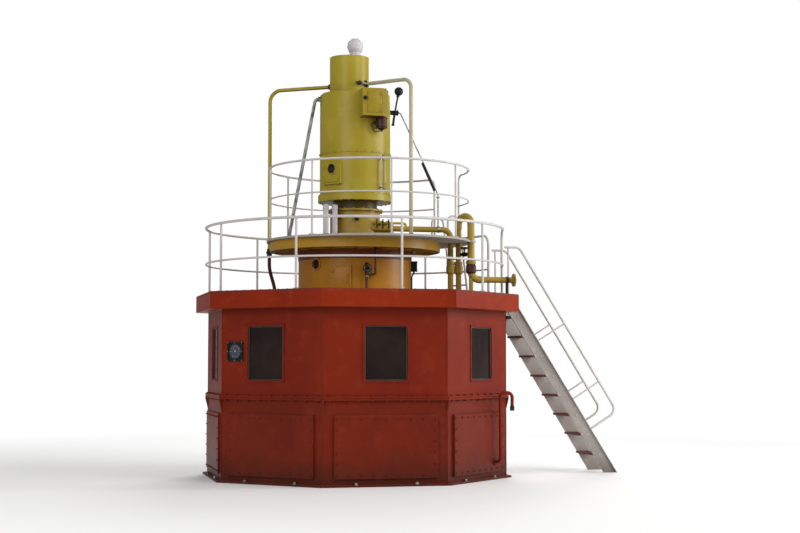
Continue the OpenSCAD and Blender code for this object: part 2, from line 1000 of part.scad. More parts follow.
module actuator() {
  x = box_x + box_w / 2 - actuator_r - 30;
  y = -box_front + box_cut_d - 20;
  foot = 60;
  color(dark)
    translate([x, y, box_z - actuator_h])
      cylinder(r = actuator_r, h = actuator_h);
  color(dark)
    translate([x - 110, y, box_z - actuator_h / 2])
      rotate([0, 90, 0])
        cylinder(d = foot, h = 60);
}

// The hand lever on the right of the column, with a black ball on its end
module hand_lever() {
  pivot = [lever_x + 80, lever_y, lever_z];
  ball = [lever_x + 150, lever_y, shoulder_z + 90];
  color(dark) {
    difference() {
      bar([lever_x - 60, lever_y, lever_z], [lever_x + lever_arm, lever_y, lever_z], 80);
      translate([0, 0, seam_z])
        cylinder(r = column_r + seat, h = column_up_h);
    }
    bar([pivot.x - 30, lever_y, lever_z - 200], pivot, 40);
    bar(pivot, ball, 30);
    translate(ball)
      sphere(d = ball_d);
  }
}

// Pipes

arch_z = shoulder_z + arch_h;

module arch_pipe_left() {
  foot = [arch_left_x, arch_left_y];
  toward = unit([-cap_x, 0, 0] - [foot.x, foot.y, 0]);
  color(yellow) {
    pipe_run([
      [foot.x, foot.y, deck_z],
      [foot.x, foot.y, arch_z],
      [-cap_x, 0, arch_z] - (cap_r + seat) * toward
    ], arch_d, arch_left_bend);
    collar([foot.x, foot.y, deck_z], [0, 0, 1], arch_d + 60, 16);
  }
}

module arch_pipe_right() {
  foot = [arch_right_x, arch_right_y];
  toward = unit([-cap_x, 0, 0] - [foot.x, foot.y, 0]);
  color(yellow) {
    pipe_run([
      [foot.x, foot.y, walkway_top],
      [foot.x, foot.y, arch_z],
      [-cap_x, 0, arch_z] - (cap_r + seat) * toward
    ], arch_d, arch_right_bend);
    collar([foot.x, foot.y, walkway_top], [0, 0, 1], arch_d + 60, 16);
  }
}

module conduit() {
  color(steel)
    pipe_run([
      [-column_r - seat, 0, shoulder_z - 90],
      [-column_r - 90, 0, shoulder_z - 90],
      [-conduit_out, 0, walkway_top + 2 * conduit_d],
      [-conduit_out, 0, walkway_top]
    ], conduit_d, [70, 400]);
}

module control_line() {
  sleeve_d = 56;
  start = [lever_x + lever_arm + seat, lever_y, lever_z];
  end = [branch_x, supply_y, branch_top + seat];
  knee = start + [80, 0, 0];
  way = unit(end - knee);
  color(steel) {
    pipe_run([start, knee, end + [0, 0, 60], end], line_d, [30, 150]);
    bar(knee + 950 * way, knee + 1420 * way, sleeve_d);
  }
}

module supply_pipes() {
  flange_t = 22;
  color(amber)
    difference() {
      for (k = [0, 1]) {
        pipe_run([
          [neck_r / 4, supply_y, supply_z[k]],
          [supply_x[k], supply_y, supply_z[k]],
          [supply_x[k], supply_y, deck_z]
        ], supply_d, supply_bend);
        for (z = [deck_z, deck_z + 520, deck_z + 520 + flange_t + 2])
          collar([supply_x[k], supply_y, z], [0, 0, 1], supply_d + 40, flange_t);
      }
      translate([0, 0, disc_top])
        cylinder(r = neck_r + seat, h = neck_h);
    }
  color(yellow)
    bar([branch_x, supply_y, supply_z[1]], [branch_x, supply_y, branch_top], 60);
}

module drain_pipe() {
  flange_t = 24;
  end_x = roof_apothem + 80;
  z = deck_z + drain_h;
  color(yellow)
    difference() {
      union() {
        bar([riser.x, riser.y, deck_z], [riser.x, riser.y, disc_top + 560], riser_d);
        bar([riser.x, riser.y, z], [end_x, riser.y, z], drain_d);
        for (h = [0, 520, 520 + flange_t + 2])
          collar([riser.x, riser.y, deck_z + h], [0, 0, 1], riser_d + 50, flange_t);
        collar([end_x - flange_t, riser.y, z], [1, 0, 0], end_flange_d, flange_t);
      }
      translate([end_x - 2 * flange_t, riser.y, z])
        rotate([0, 90, 0])
          for (k = [0 : end_bolts - 1])
            rotate([0, 0, (k + 0.5) * 360 / end_bolts])
              translate([end_pcd / 2, 0, 0])
                cylinder(d = end_bolt_d, h = 3 * flange_t);
    }
}

// A small valve in the branch between the inner supply pipe and the drain riser
module crossover_valve() {
  z = disc_top - 190;
  from = [supply_x[1], supply_y, z];
  to = [riser.x, riser.y, z];
  way = unit(to - from);
  a = from + (supply_d / 2 + seat) * way;
  b = to - (riser_d / 2 + seat) * way;
  mid = (a + b) / 2;
  wheel_d = 130;
  wheel_t = 16;
  color(dark) {
    bar(a, b, 50);
    bar(mid - 40 * way, mid + 40 * way, 76);
    translate(mid) {
      cylinder(d = 26, h = 105, $fn = tube_fn);
      translate([0, 0, 90])
        cylinder(d = wheel_d, h = wheel_t);
    }
  }
}

// A bent vent from the front right wall, with its mouth turned down
module vent_gooseneck() {
  z0 = 280;
  reach = base_out + 65;
  hook = 140;
  hook_drop = 260;
  color(red)
    difference() {
      on_wall(-45)
        pipe_run([
          [-gooseneck_x, 0, z0],
          [-gooseneck_x, reach, z0],
          [-gooseneck_x, reach, gooseneck_h],
          [-gooseneck_x - hook, reach + hook, gooseneck_h],
          [-gooseneck_x - hook, reach + hook, gooseneck_h - hook_drop]
        ], gooseneck_d, [70, 80, 80]);
      linear_extrude(height = deck_z)
        octagon(housing_apothem + cover_out + seat);
    }
}

// Two sensor posts beside the neck
module sensor_posts() {
  sensor_d = 90;
  sensor_h = 540;
  color("white")
    for (x = [-575, -425])
      translate([x, -neck_r + 20, walkway_top])
        cylinder(d = sensor_d, h = sensor_h);
}

// Stair

rise = deck_z / risers;
slope = atan(rise / going);
stair_x = roof_apothem + 60;
// Steps at which the handrail's stays stand, and at which its foot returns to the stringer
stay_steps = [risers * 0.27, risers * 0.6];
handrail_foot = risers * 0.77;

// Height of the stringer's upper and lower edges over the line of the nosings
edge_up = 30 / cos(slope);
edge_low = edge_up - stringer_d / cos(slope);

// Where a line at a height over the nosings passes a height z, or a distance x
function line_x(up, z) = stair_x + (deck_z + up - z) * going / rise;
function line_z(up, x) = deck_z + up - (x - stair_x) * rise / going;

// The outline of a stringer, or of the hollow of its channel when inset
module stringer_side(inset = 0) {
  up = edge_up - inset / cos(slope);
  low = edge_low + inset / cos(slope);
  x0 = roof_apothem + seat + inset;
  z1 = deck_z - inset;
  polygon([
    [x0, z1],
    [line_x(up, z1), z1],
    [line_x(up, inset), inset],
    [line_x(low, inset), inset],
    [x0, line_z(low, x0)]
  ]);
}

// A stringer is a channel with its hollow side outwards
module stringer(side) {
  mirror([0, side < 0 ? 1 : 0, 0])
    translate([0, stair_w / 2, 0])
      rotate([90, 0, 0])
        difference() {
          linear_extrude(height = stringer_w)
            stringer_side();
          translate([0, 0, -over])
            linear_extrude(height = stringer_w - stringer_t + over)
              stringer_side(stringer_t);
        }
}

module stair_stringers() {
  color(rail_grey)
    for (side = [-1, 1])
      stringer(side);
}

module stair_treads() {
  color(steel)
    for (k = [1 : risers - 1])
      translate([
        stair_x + k * going - tread_d,
        -stair_w / 2 + stringer_w + seat,
        deck_z - k * rise - tread_t
      ])
        cube([tread_d, stair_w - 2 * stringer_w - 2 * seat, tread_t]);
}

// A point square off the stringer's upper edge, at step k and a distance out
function off_edge(k, y, out) = [
  stair_x + k * going + out * sin(slope),
  y,
  deck_z - k * rise + edge_up + out * cos(slope)
];

// A handrail along one side, with a post at its head, two stays and a returned foot
module handrail(y) {
  stay_d = 30;
  reach = (handrail_h - edge_up) * cos(slope);
  head = stair_x - 20;
  top_z = deck_z + handrail_start;
  color(rail_grey) {
    pipe_run([
      [roof_apothem - 20, y, top_z],
      [line_x(handrail_h, top_z), y, top_z],
      off_edge(handrail_foot, y, reach),
      off_edge(handrail_foot, y, 0)
    ], handrail_d, 140);
    for (k = stay_steps)
      bar(off_edge(k, y, 0), off_edge(k, y, reach), stay_d);
    bar([head, y, deck_z], [head, y, top_z], stay_d);
  }
}

module stair_handrail_near() { handrail(-stair_w / 2 + stringer_w / 2); }
module stair_handrail_far() { handrail(stair_w / 2 - stringer_w / 2); }

base_flange();
lower_housing();
belt_flange();
wall_front();
wall_front_right();
wall_right();
wall_back_right();
wall_back();
wall_back_left();
wall_left();
wall_front_left();
window_panes();
instrument_window();
roof_fascia();
roof_deck();
roof_rail_near();
roof_rail_left();
roof_rail_far();
bearing_housing();
bearing_ring();
bearing_port_glass();
bearing_hatch();
bearing_drain_valve();
bearing_terminal_box();
platform_disc();
platform_walkway();
platform_rail_near();
platform_rail_left();
platform_rail_far();
platform_ladder();
oil_head_neck();
oil_head_ring();
column_lower();
column_upper();
column_access_plate();
level_gauge();
column_cap();
signal_lamp();
control_box();
actuator();
hand_lever();
arch_pipe_left();
arch_pipe_right();
conduit();
control_line();
supply_pipes();
drain_pipe();
crossover_valve();
vent_gooseneck();
sensor_posts();
stair_stringers();
stair_treads();
stair_handrail_near();
stair_handrail_far();
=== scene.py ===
"""Finishes and small parts of a vertical shaft hydroelectric generator.

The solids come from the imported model. This script paints them, replaces the walkway, the treads
and some of the pipes with finer ones, and adds bolts, hinges, seams and other small parts.
Lengths are in metres. The origin is on the floor, on the shaft axis, and the front faces -Y.
"""

import json
import math

import bmesh
import bpy
from mathutils import Matrix, Vector


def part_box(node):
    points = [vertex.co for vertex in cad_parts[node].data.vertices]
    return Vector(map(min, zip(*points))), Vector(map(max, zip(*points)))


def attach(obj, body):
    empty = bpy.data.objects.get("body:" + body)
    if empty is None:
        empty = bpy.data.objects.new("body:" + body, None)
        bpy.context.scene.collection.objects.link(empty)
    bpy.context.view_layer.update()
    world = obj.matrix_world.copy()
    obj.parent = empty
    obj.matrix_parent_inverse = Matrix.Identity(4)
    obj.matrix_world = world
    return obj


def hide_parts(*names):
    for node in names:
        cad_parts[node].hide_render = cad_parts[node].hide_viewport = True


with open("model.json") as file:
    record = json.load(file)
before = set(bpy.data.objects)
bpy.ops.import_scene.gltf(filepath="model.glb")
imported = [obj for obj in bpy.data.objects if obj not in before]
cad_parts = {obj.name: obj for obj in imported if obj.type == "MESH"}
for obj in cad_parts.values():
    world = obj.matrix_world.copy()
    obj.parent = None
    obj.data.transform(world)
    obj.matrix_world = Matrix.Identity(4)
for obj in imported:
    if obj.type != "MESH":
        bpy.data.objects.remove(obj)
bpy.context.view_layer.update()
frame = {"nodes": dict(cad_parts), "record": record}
NODES = frame["nodes"]


# Sizes

def top_of(node):
    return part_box(node)[1].z


def foot_of(node):
    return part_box(node)[0].z


UP = Vector((0, 0, 1))
RIGHT = Vector((1, 0, 0))
FRONT = Vector((0, -1, 0))
SIDES = 8
WALLS = [k * 45 for k in range(SIDES)]

DECK = top_of("roof_deck")
FASCIA_LOW = foot_of("roof_fascia")
FOOT_HIGH = top_of("base_flange")
BELT_LOW, BELT_HIGH = foot_of("belt_flange"), top_of("belt_flange")
DISC_LOW, DISC_HIGH = foot_of("platform_disc"), top_of("platform_disc")
WALKWAY = top_of("platform_walkway")
NECK_LOW, NECK_HIGH = foot_of("oil_head_neck"), top_of("oil_head_neck")
COLUMN_LOW = foot_of("column_lower")
COLUMN_FLANGE = COLUMN_LOW + 0.11
SEAM = foot_of("column_upper")
SHOULDER, CAP_HIGH = foot_of("column_cap"), top_of("column_cap")

HOUSING_OUT = 2.34
COVER_OUT = 0.04
ROOF_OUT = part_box("roof_deck")[1].y
BEARING_R = 0.947
PLATFORM_X = 0.24
WALKWAY_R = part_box("platform_walkway")[1].y
NECK_R = 0.42
COLUMN_R = 0.594
CAP_R = 0.332
CAP_X = -0.1

# Heights of bolt and screw heads, as parts of their widths
BOLT_HEAD, SCREW_HEAD, FLAT_HEAD, SUNK_HEAD = 0.62, 0.5, 0.4, 0.22

# Openings of the housing and its instrument
WINDOW_W, WINDOW_H, WINDOW_LOW = 0.67, 0.84, 1.6
INSTRUMENT_WALL, INSTRUMENT_ALONG, INSTRUMENT_Z = -135, 0.7, 2.05

# Fittings of the bearing housing, at bearings from the front
PORT_BEARING, PORT_Z = -54, DECK + 0.48
HATCH_BEARING, HATCH_W, HATCH_H = -25, 0.33, 0.42
HATCH_Z = DECK + 0.03 + HATCH_H / 2

# Guard rails: radius, height of the top and middle rails over the floor, and tube diameters
ROOF_RAIL = {"centre": (0, 0), "radius": 2.485, "floor": DECK, "top": 1.1, "middle": 0.5,
             "bend": 0.18, "post": 0.038, "top_tube": 0.044, "middle_tube": 0.032,
             "angles": [9 + 38 * k for k in range(10)]}
DECK_RAIL = {"centre": (PLATFORM_X, 0), "radius": 1.68, "floor": WALKWAY, "top": 1.2, "middle": 0.67,
             "bend": 0.12, "post": 0.031, "top_tube": 0.036, "middle_tube": 0.026,
             "angles": [34, 90, 135, 180, 225, 270, 315, 372]}

# Supply lines, with the loop into the drain's riser, and the drain run
SUPPLY_X = (1.575, 1.715)
SUPPLY_Y = -0.335
SUPPLY_R = 0.048
SUPPLY_Z = DISC_HIGH + 0.23
INSIDE_NECK = 0.2
LOOP_Z = DISC_HIGH + 0.45
LOOP_BEND = 0.146
PIPE_BEND = 0.14
JOINT_Z = DECK + 0.52
RISER = (1.86, -0.59)
RISER_R = 0.06
LEG_R = 0.036
RUN_R = 0.05
RUN_Z = DECK + 0.26

# The upright pipes on the deck: place, radius, how far the flanges and their bolts stand out from
# the pipe, the flanges' thickness and the number of bolts
UPRIGHTS = [(x, SUPPLY_Y, SUPPLY_R, 0.02, 0.01, 0.022, 6) for x in SUPPLY_X]
UPRIGHTS.append((*RISER, RISER_R, 0.025, 0.0135, 0.024, 8))
GASKET = 0.002

# Control box, hand lever and the control line from it
BOX_LOW, BOX_HIGH = foot_of("control_box"), top_of("control_box")
BOX_LEFT, BOX_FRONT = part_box("control_box")[0].xy
LEVER_Y, LEVER_Z = -0.06, BOX_LOW + 0.19
LINE_FOOT_X = 1.36

# Arched pipes, conduit and sensor posts
ARCH_LEFT, ARCH_RIGHT = (-1.33, 0.8), (0.753, -0.891)
ARCH_R = 0.03
ARCH_Z = SHOULDER + 0.16
DROP_FOOT = (-1.23, 0.8)
CONDUIT_X = -1.11
CONDUIT_Z = SHOULDER - 0.09
SENSORS = [(-0.575, -0.4), (-0.425, -0.4)]

# Stair
RISERS = 9
RISE = DECK / RISERS
GOING = 0.208
STAIR_X = ROOF_OUT + 0.06
STAIR_HALF = 0.4
STRINGER_IN = STAIR_HALF - 0.05
TREAD_DEPTH = 0.23
TREAD_T = 0.035
SLOPE = math.atan(RISE / GOING)


# Node trees

class Wire:
    """An output in a node tree. Arithmetic on it adds Math nodes."""

    def __init__(self, graph, socket):
        self.graph = graph
        self.socket = socket

    def __add__(self, other):
        return self.graph.maths("ADD", self, other)

    def __sub__(self, other):
        return self.graph.maths("SUBTRACT", self, other)

    def __rsub__(self, other):
        return self.graph.maths("SUBTRACT", other, self)

    def __mul__(self, other):
        return self.graph.maths("MULTIPLY", self, other)

    def __truediv__(self, other):
        return self.graph.maths("DIVIDE", self, other)

    def __rtruediv__(self, other):
        return self.graph.maths("DIVIDE", other, self)

    __radd__ = __add__
    __rmul__ = __mul__


class Graph:
    """A node tree, built node by node."""

    def __init__(self, tree):
        self.tree = tree

    def node(self, kind, inputs=None, out=0, **settings):
        """Adds any node: its settings first, then the values or wires of its sockets.

        A list holds the wires of a socket that takes several.
        """
        made = self.tree.nodes.new(kind)
        for key, value in settings.items():
            setattr(made, key, value)
        for key, value in (inputs or {}).items():
            for item in value if isinstance(value, list) else [value]:
                if isinstance(item, Wire):
                    self.tree.links.new(item.socket, made.inputs[key])
                else:
                    made.inputs[key].default_value = item
        return Wire(self, made.outputs[out])

    def maths(self, operation, first, second=0.0):
        return self.node("ShaderNodeMath", {0: first, 1: second}, operation=operation)


# Finishes


def paint(red, green, blue):
    """A colour given as it shows on a screen, from 0 to 255, as the linear values that shaders take."""
    def linear(level):
        level /= 255
        return level / 12.92 if level <= 0.04045 else ((level + 0.055) / 1.055) ** 2.4
    return (linear(red), linear(green), linear(blue), 1.0)


class Finish(Graph):
    """One surface finish, as a material. Its slot argument is not used."""

    def __init__(self, name, slot, **constants):
        self.material = bpy.data.materials.new(name)
        self.material.use_nodes = True
        super().__init__(self.material.node_tree)
        self.shader = self.tree.nodes["Principled BSDF"]
        for socket, value in constants.items():
            self.shader.inputs[socket.replace("_", " ")].default_value = value
        self.place = self.node("ShaderNodeTexCoord", out="Object")

    def put(self, **wires):
        for socket, wire in wires.items():
            self.tree.links.new(wire.socket, self.shader.inputs[socket.replace("_", " ")])

    def noise(self, scale, detail=3.0, stretch=(1, 1, 1), offset=(0, 0, 0)):
        spot = self.node("ShaderNodeMapping", {"Vector": self.place, "Scale": stretch, "Location": offset})
        return self.node("ShaderNodeTexNoise",
                         {"Vector": spot, "Scale": scale, "Detail": detail, "Roughness": 0.55})

    def between(self, wire, low, high):
        """0 below low, 1 above high and a smooth slope between; high may be the lower of the two."""
        return self.node("ShaderNodeMapRange", {"Value": wire, "From Min": low, "From Max": high},
                         interpolation_type="SMOOTHSTEP")

    def mix(self, amount, first, second):
        return self.node("ShaderNodeMix", {0: amount, 6: first, 7: second}, 2, data_type="RGBA")

    def part(self, vector, axis):
        return self.node("ShaderNodeSeparateXYZ", {0: vector}, axis)

    def normal(self):
        return self.node("ShaderNodeNewGeometry", out="Normal")

    def worn_edges(self, radius):
        """1 at outer edges and corners, and the normal that rounds them."""
        round_normal = self.node("ShaderNodeBevel", {"Radius": radius}, samples=4)
        match = self.node("ShaderNodeVectorMath", {0: round_normal, 1: self.normal()}, "Value",
                          operation="DOT_PRODUCT")
        return self.between(1 - match, 0.01, 0.16), round_normal

    def relief(self, height, distance, normal=None, strength=1.0):
        inputs = {"Height": height, "Distance": distance, "Strength": strength}
        if normal:
            inputs["Normal"] = normal
        return self.node("ShaderNodeBump", inputs)


def tread_plate(coat, pitch):
    """Raised lozenges that lie by turns one way and the other, as on steel tread plate."""
    slim = 0.12
    x, y = coat.part(coat.place, "X"), coat.part(coat.place, "Y")
    first = coat.maths("COSINE", (x + y) * (2 * math.pi / pitch))
    second = coat.maths("COSINE", (x - y) * (2 * math.pi / pitch))
    return (coat.between(first * slim + second, 0.98, 1.06)
            + coat.between(first + second * slim, -0.98, -1.06))


def enamel(name, slot, colour, deep, pale, rough=0.36, dust=0.3, runs=0.25, edge=0.006, gloss=0.2,
           painted_shade_below=None, foot=None, plate=0.0):
    """Brushed or sprayed enamel on steel: patches, faint runs, dust on top, wear along the edges.

    Colours are given for a screen. The colour for faces that look down is painted shade under
    things, foot is the height and colour of a darkening near the floor, painted shade of light from
    above together with grime, and plate is the pitch of a tread pattern.
    """
    coat = Finish(name, slot, Metallic=0.0, Coat_Weight=0.0, Specular_IOR_Level=gloss)
    colour, deep, pale = paint(*colour), paint(*deep), paint(*pale)
    broad = coat.noise(0.9, 2.0)
    patch = coat.noise(5.0, 4.0, offset=(3, 1, 7))
    streak = coat.noise(7.0, 3.0, stretch=(1.6, 1.6, 0.12))
    skin = coat.noise(60.0, 2.0)
    brush = coat.noise(24.0, 2.0, stretch=(1, 1, 0.2), offset=(5, 5, 0))

    shade = coat.mix(coat.between(broad, 0.35, 0.68) * 0.7, colour, deep)
    shade = coat.mix(coat.between(patch, 0.50, 0.78) * 0.45, shade, pale)
    shade = coat.mix(coat.between(streak, 0.56, 0.80) * runs, shade, deep)
    # Darker towards the floor: painted shade where less light comes from above, together with grime
    if foot:
        high, grime_and_shade = foot
        height = coat.part(coat.place, "Z") + coat.noise(3.0, 4.0) * 0.5 - 0.25
        shade = coat.mix(coat.between(height, high, 0.0) * 0.7, shade, paint(*grime_and_shade))
    # Painted shade: faces that look down take a darker colour, as if less light reached them
    if painted_shade_below:
        shade = coat.mix(coat.between(coat.part(coat.normal(), "Z"), -0.4, -0.8), shade, paint(*painted_shade_below))
    lying = coat.between(coat.part(coat.normal(), "Z"), 0.6, 0.95) * (patch * 0.8 + 0.2)
    shade = coat.mix(lying * dust, shade, paint(136, 124, 110))
    wear, normal = coat.worn_edges(edge)
    chipped = wear * coat.between(coat.noise(18.0, 4.0), 0.42, 0.66)
    shade = coat.mix(chipped * 0.55, shade, pale)

    normal = coat.relief(skin + brush * 0.6, 0.0006, normal, 0.6)
    if plate:
        normal = coat.relief(tread_plate(coat, plate), 0.002, normal)
    coat.put(Base_Color=shade, Roughness=patch * 0.16 + (rough - 0.08) + lying * 0.3,
             Normal=coat.relief(broad, 0.02, normal, 0.25))
    return coat.material


# Each enamel: its name, its slot, the main, the deeper and the paler shade, then what is special
HOUSING_RED = enamel("housing_red_enamel", "housing_red", (115, 31, 9), (102, 25, 8), (130, 44, 22),
                     rough=0.40, runs=0.30, gloss=0.11, foot=(0.55, (66, 28, 18)))
# A darker copy of the housing red: painted shade on the lower housing, which gets less light from above
LOWER_RED_SHADED = enamel("lower_housing_red_enamel", "housing_red", (107, 31, 11), (94, 25, 10), (124, 44, 24),
                   rough=0.42, runs=0.35, gloss=0.11, foot=(0.60, (62, 27, 18)))
ROOF_RED = enamel("roof_red_enamel", "roof_red", (129, 37, 8), (115, 29, 7), (145, 53, 20),
                  rough=0.40, dust=0.2, gloss=0.10)
DECK_RED = enamel("roof_tread_plate", "roof_red", (120, 38, 18), (98, 30, 16), (142, 62, 40),
                  rough=0.50, gloss=0.15, plate=0.06)
YELLOW = enamel("column_yellow_enamel", "yellow_paint", (154, 138, 38), (143, 126, 32), (165, 151, 60),
                rough=0.34, painted_shade_below=(96, 50, 24))
BOX_YELLOW = enamel("box_yellow_enamel", "yellow_paint", (146, 127, 36), (134, 114, 28), (160, 144, 60),
                    painted_shade_below=(88, 46, 22))
# The disc's colour for faces that look down is its red-brown underside, darkened further as painted shade
DISC_YELLOW = enamel("disc_ochre_enamel", "yellow_paint", (170, 131, 34), (157, 116, 26), (182, 148, 56),
                     painted_shade_below=(112, 64, 26))
OCHRE = enamel("pipe_ochre_enamel", "yellow_paint", (154, 128, 50), (138, 108, 36), (178, 158, 86))
LINK_YELLOW = enamel("link_yellow_enamel", "yellow_paint", (182, 158, 46), (160, 132, 36), (204, 186, 96),
                     rough=0.32, edge=0.003)
AMBER = enamel("bearing_amber_enamel", "amber_paint", (168, 113, 18), (155, 97, 14), (176, 130, 36))
# Red-brown paint of the ring at the top of the bearing housing, darkened as painted shadow under the disc
RING_BROWN_SHADED = enamel("bearing_ring_brown_enamel", "roof_red", (122, 62, 26), (104, 46, 20), (142, 86, 42),
                    rough=0.40, gloss=0.15)
# The column's yellow darkened to olive: painted shade on the ring in the shadow under the column's flange
SHADED_YELLOW = enamel("ring_olive_enamel", "yellow_paint", (96, 80, 30), (74, 56, 24), (126, 110, 52), rough=0.42)
PALE_OLIVE = enamel("vent_pale_olive_enamel", "yellow_paint", (172, 166, 142), (156, 148, 116),
                    (188, 184, 168), rough=0.34, edge=0.003)
RAIL_WHITE = enamel("rail_grey_enamel", "rail_grey", (188, 183, 180), (172, 166, 162), (206, 202, 200),
                    rough=0.32, dust=0.15, edge=0.003)
STAIR_GREY = enamel("stringer_grey_enamel", "rail_grey", (160, 153, 147), (140, 132, 126), (182, 176, 172),
                    rough=0.38, edge=0.004, foot=(0.5, (112, 100, 92)))
TREAD_RED = enamel("tread_brown_paint", "tread_steel", (112, 62, 50), (84, 42, 34), (158, 132, 122),
                   rough=0.55, edge=0.003)
GREY = enamel("walkway_grey_paint", "bare_steel", (164, 158, 148), (142, 134, 124), (184, 180, 172),
              rough=0.50, edge=0.003)
BLACK = enamel("fitting_black_enamel", "dark_paint", (28, 27, 30), (18, 17, 20), (74, 70, 68),
               rough=0.34, dust=0.2, edge=0.004)
BROWN = enamel("actuator_brown_enamel", "dark_paint", (70, 39, 32), (46, 26, 22), (108, 76, 62),
               dust=0.2, edge=0.004)
WHEEL_RED = enamel("handwheel_red_enamel", "roof_red", (150, 34, 20), (122, 26, 16), (176, 80, 60),
                   rough=0.34, edge=0.003)
LAMP_WHITE = enamel("lamp_white_enamel", "white_paint", (190, 185, 189), (176, 170, 175), (208, 204, 206),
                    rough=0.26, dust=0.15)


def bare_steel():
    metal = Finish("bare_steel", "bare_steel", Metallic=1.0)
    grain = metal.noise(90.0, 3.0, stretch=(1, 1, 0.15))
    patch = metal.between(metal.noise(8.0, 4.0), 0.35, 0.7)
    metal.put(Base_Color=metal.mix(patch, paint(176, 174, 170), paint(132, 126, 120)),
              Roughness=grain * 0.25 + 0.26, Normal=metal.relief(grain, 0.0004))
    return metal.material


def dark_glazing():
    """Panes: a near black body, painted shade of the unlit inside, under a clear, slightly uneven gloss."""
    pane = Finish("dark_glazing", "dark_glass", Metallic=0.0, Specular_IOR_Level=0.26)
    haze = pane.noise(1.6, 4.0)
    smear = pane.between(pane.noise(5.0, 3.0, stretch=(2.2, 2.2, 0.4)), 0.5, 0.8)
    pane.put(Base_Color=pane.mix(pane.between(haze, 0.35, 0.7), paint(27, 17, 15), paint(40, 28, 25)),
             Roughness=smear * 0.14 + 0.10, Normal=pane.relief(haze, 0.004, strength=0.3))
    return pane.material


def black_rubber():
    seal = Finish("black_rubber", "dark_paint", Metallic=0.0)
    patch = seal.noise(20.0, 3.0)
    seal.put(Base_Color=seal.mix(patch, paint(30, 29, 29), paint(52, 50, 48)),
             Roughness=patch * 0.2 + 0.5, Normal=seal.relief(seal.noise(220.0, 1.0), 0.0002))
    return seal.material


def galvanised():
    """The flexible conduit: dull zinc with darker blotches."""
    zinc = Finish("galvanised_steel", "bare_steel", Metallic=0.6)
    spangle = zinc.noise(16.0, 4.0, stretch=(1, 1, 0.5))
    blotch = zinc.between(zinc.noise(5.0, 4.0), 0.58, 0.76)
    shade = zinc.mix(zinc.between(spangle, 0.40, 0.66), paint(168, 172, 168), paint(104, 106, 104))
    zinc.put(Base_Color=zinc.mix(blotch * 0.7, shade, paint(66, 68, 70)),
             Roughness=spangle * 0.25 + 0.34, Normal=zinc.relief(spangle, 0.0006))
    return zinc.material


def dial_face():
    """A slate grey dial with fine grain."""
    face = Finish("dial_face", "instrument_frame", Metallic=0.0, Specular_IOR_Level=0.3)
    grain = face.noise(40.0, 3.0)
    face.put(Base_Color=face.mix(face.between(grain, 0.4, 0.7), paint(62, 66, 76), paint(50, 53, 62)),
             Roughness=grain * 0.1 + 0.4, Normal=face.relief(grain, 0.0002))
    return face.material


STEEL = bare_steel()
GLAZING = dark_glazing()
RUBBER = black_rubber()
ZINC = galvanised()
DIAL = dial_face()

FINISH_OF_SLOT = {
    "housing_red": HOUSING_RED, "roof_red": ROOF_RED, "rail_grey": RAIL_WHITE,
    "tread_steel": TREAD_RED, "dark_glass": GLAZING, "instrument_frame": BLACK,
    "amber_paint": AMBER, "yellow_paint": YELLOW, "dark_paint": BLACK,
    "bare_steel": STEEL, "white_paint": LAMP_WHITE,
}

# Nodes whose finish differs from that of their slot
FINISH_OF_NODE = {
    "lower_housing": LOWER_RED_SHADED, "base_flange": LOWER_RED_SHADED, "roof_deck": DECK_RED,
    "bearing_ring": RING_BROWN_SHADED, "bearing_drain_valve": BROWN, "platform_disc": DISC_YELLOW,
    "oil_head_neck": OCHRE, "oil_head_ring": SHADED_YELLOW, "control_box": BOX_YELLOW, "actuator": BROWN,
    "supply_pipes": OCHRE, "drain_pipe": OCHRE, "arch_pipe_right": PALE_OLIVE,
    "stair_stringers": STAIR_GREY,
}

for entry in frame["record"]["subparts"]:
    node_mesh = NODES[entry["node"]].data
    node_mesh.materials.clear()
    node_mesh.materials.append(FINISH_OF_NODE.get(entry["node"], FINISH_OF_SLOT[entry["material_slot"]]))


# Frames that pieces are built in

def place(point, out=UP, up=UP):
    """A frame at a point with Z along out and Y as near to up as it can be."""
    z = Vector(out).normalized()
    y = Vector(up)
    if abs(z.dot(y.normalized())) > 0.99:
        y = Vector((0, 1, 0))
    x = y.cross(z).normalized()
    return Matrix.Translation(Vector(point)) @ Matrix((x, z.cross(x), z)).transposed().to_4x4()


def heading(angle):
    """The level directions away from the axis and, to the left of that, round it."""
    turn = math.radians(angle)
    return Vector((math.cos(turn), math.sin(turn), 0)), Vector((-math.sin(turn), math.cos(turn), 0))


def on_wall(angle, along, out, height, base=HOUSING_OUT):
    """A frame on a wall: Z points out of it, Y is up and X runs along it."""
    outward, left = heading(angle)
    return place(outward * (base + out) - left * along + UP * height, outward)


def at_bearing(angle, radius, height, centre=(0, 0)):
    """A frame at a bearing from the front, in degrees towards +X, with Z pointing outwards."""
    turn = math.radians(angle)
    outward = Vector((math.sin(turn), -math.cos(turn), 0))
    return place(outward * radius + Vector((*centre, height)), outward)


def shifted(frame_at, x=0.0, y=0.0, z=0.0):
    return frame_at @ Matrix.Translation((x, y, z))


def border(frame_at, width, height, columns, rows):
    """Frames round a rectangle on a face, with the given counts along its sides."""
    spots = []
    for k in range(columns):
        x = (k / (columns - 1) - 0.5) * width
        spots += [shifted(frame_at, x, -height / 2), shifted(frame_at, x, height / 2)]
    for k in range(1, rows - 1):
        y = (k / (rows - 1) - 0.5) * height
        spots += [shifted(frame_at, -width / 2, y), shifted(frame_at, width / 2, y)]
    return spots


def wall_rows(count, pitch, out, height, facing, base=HOUSING_OUT):
    """A row of frames along each wall, which point along facing."""
    return [place(on_wall(angle, (k - (count - 1) / 2) * pitch, out, height, base).translation, facing)
            for angle in WALLS for k in range(count)]


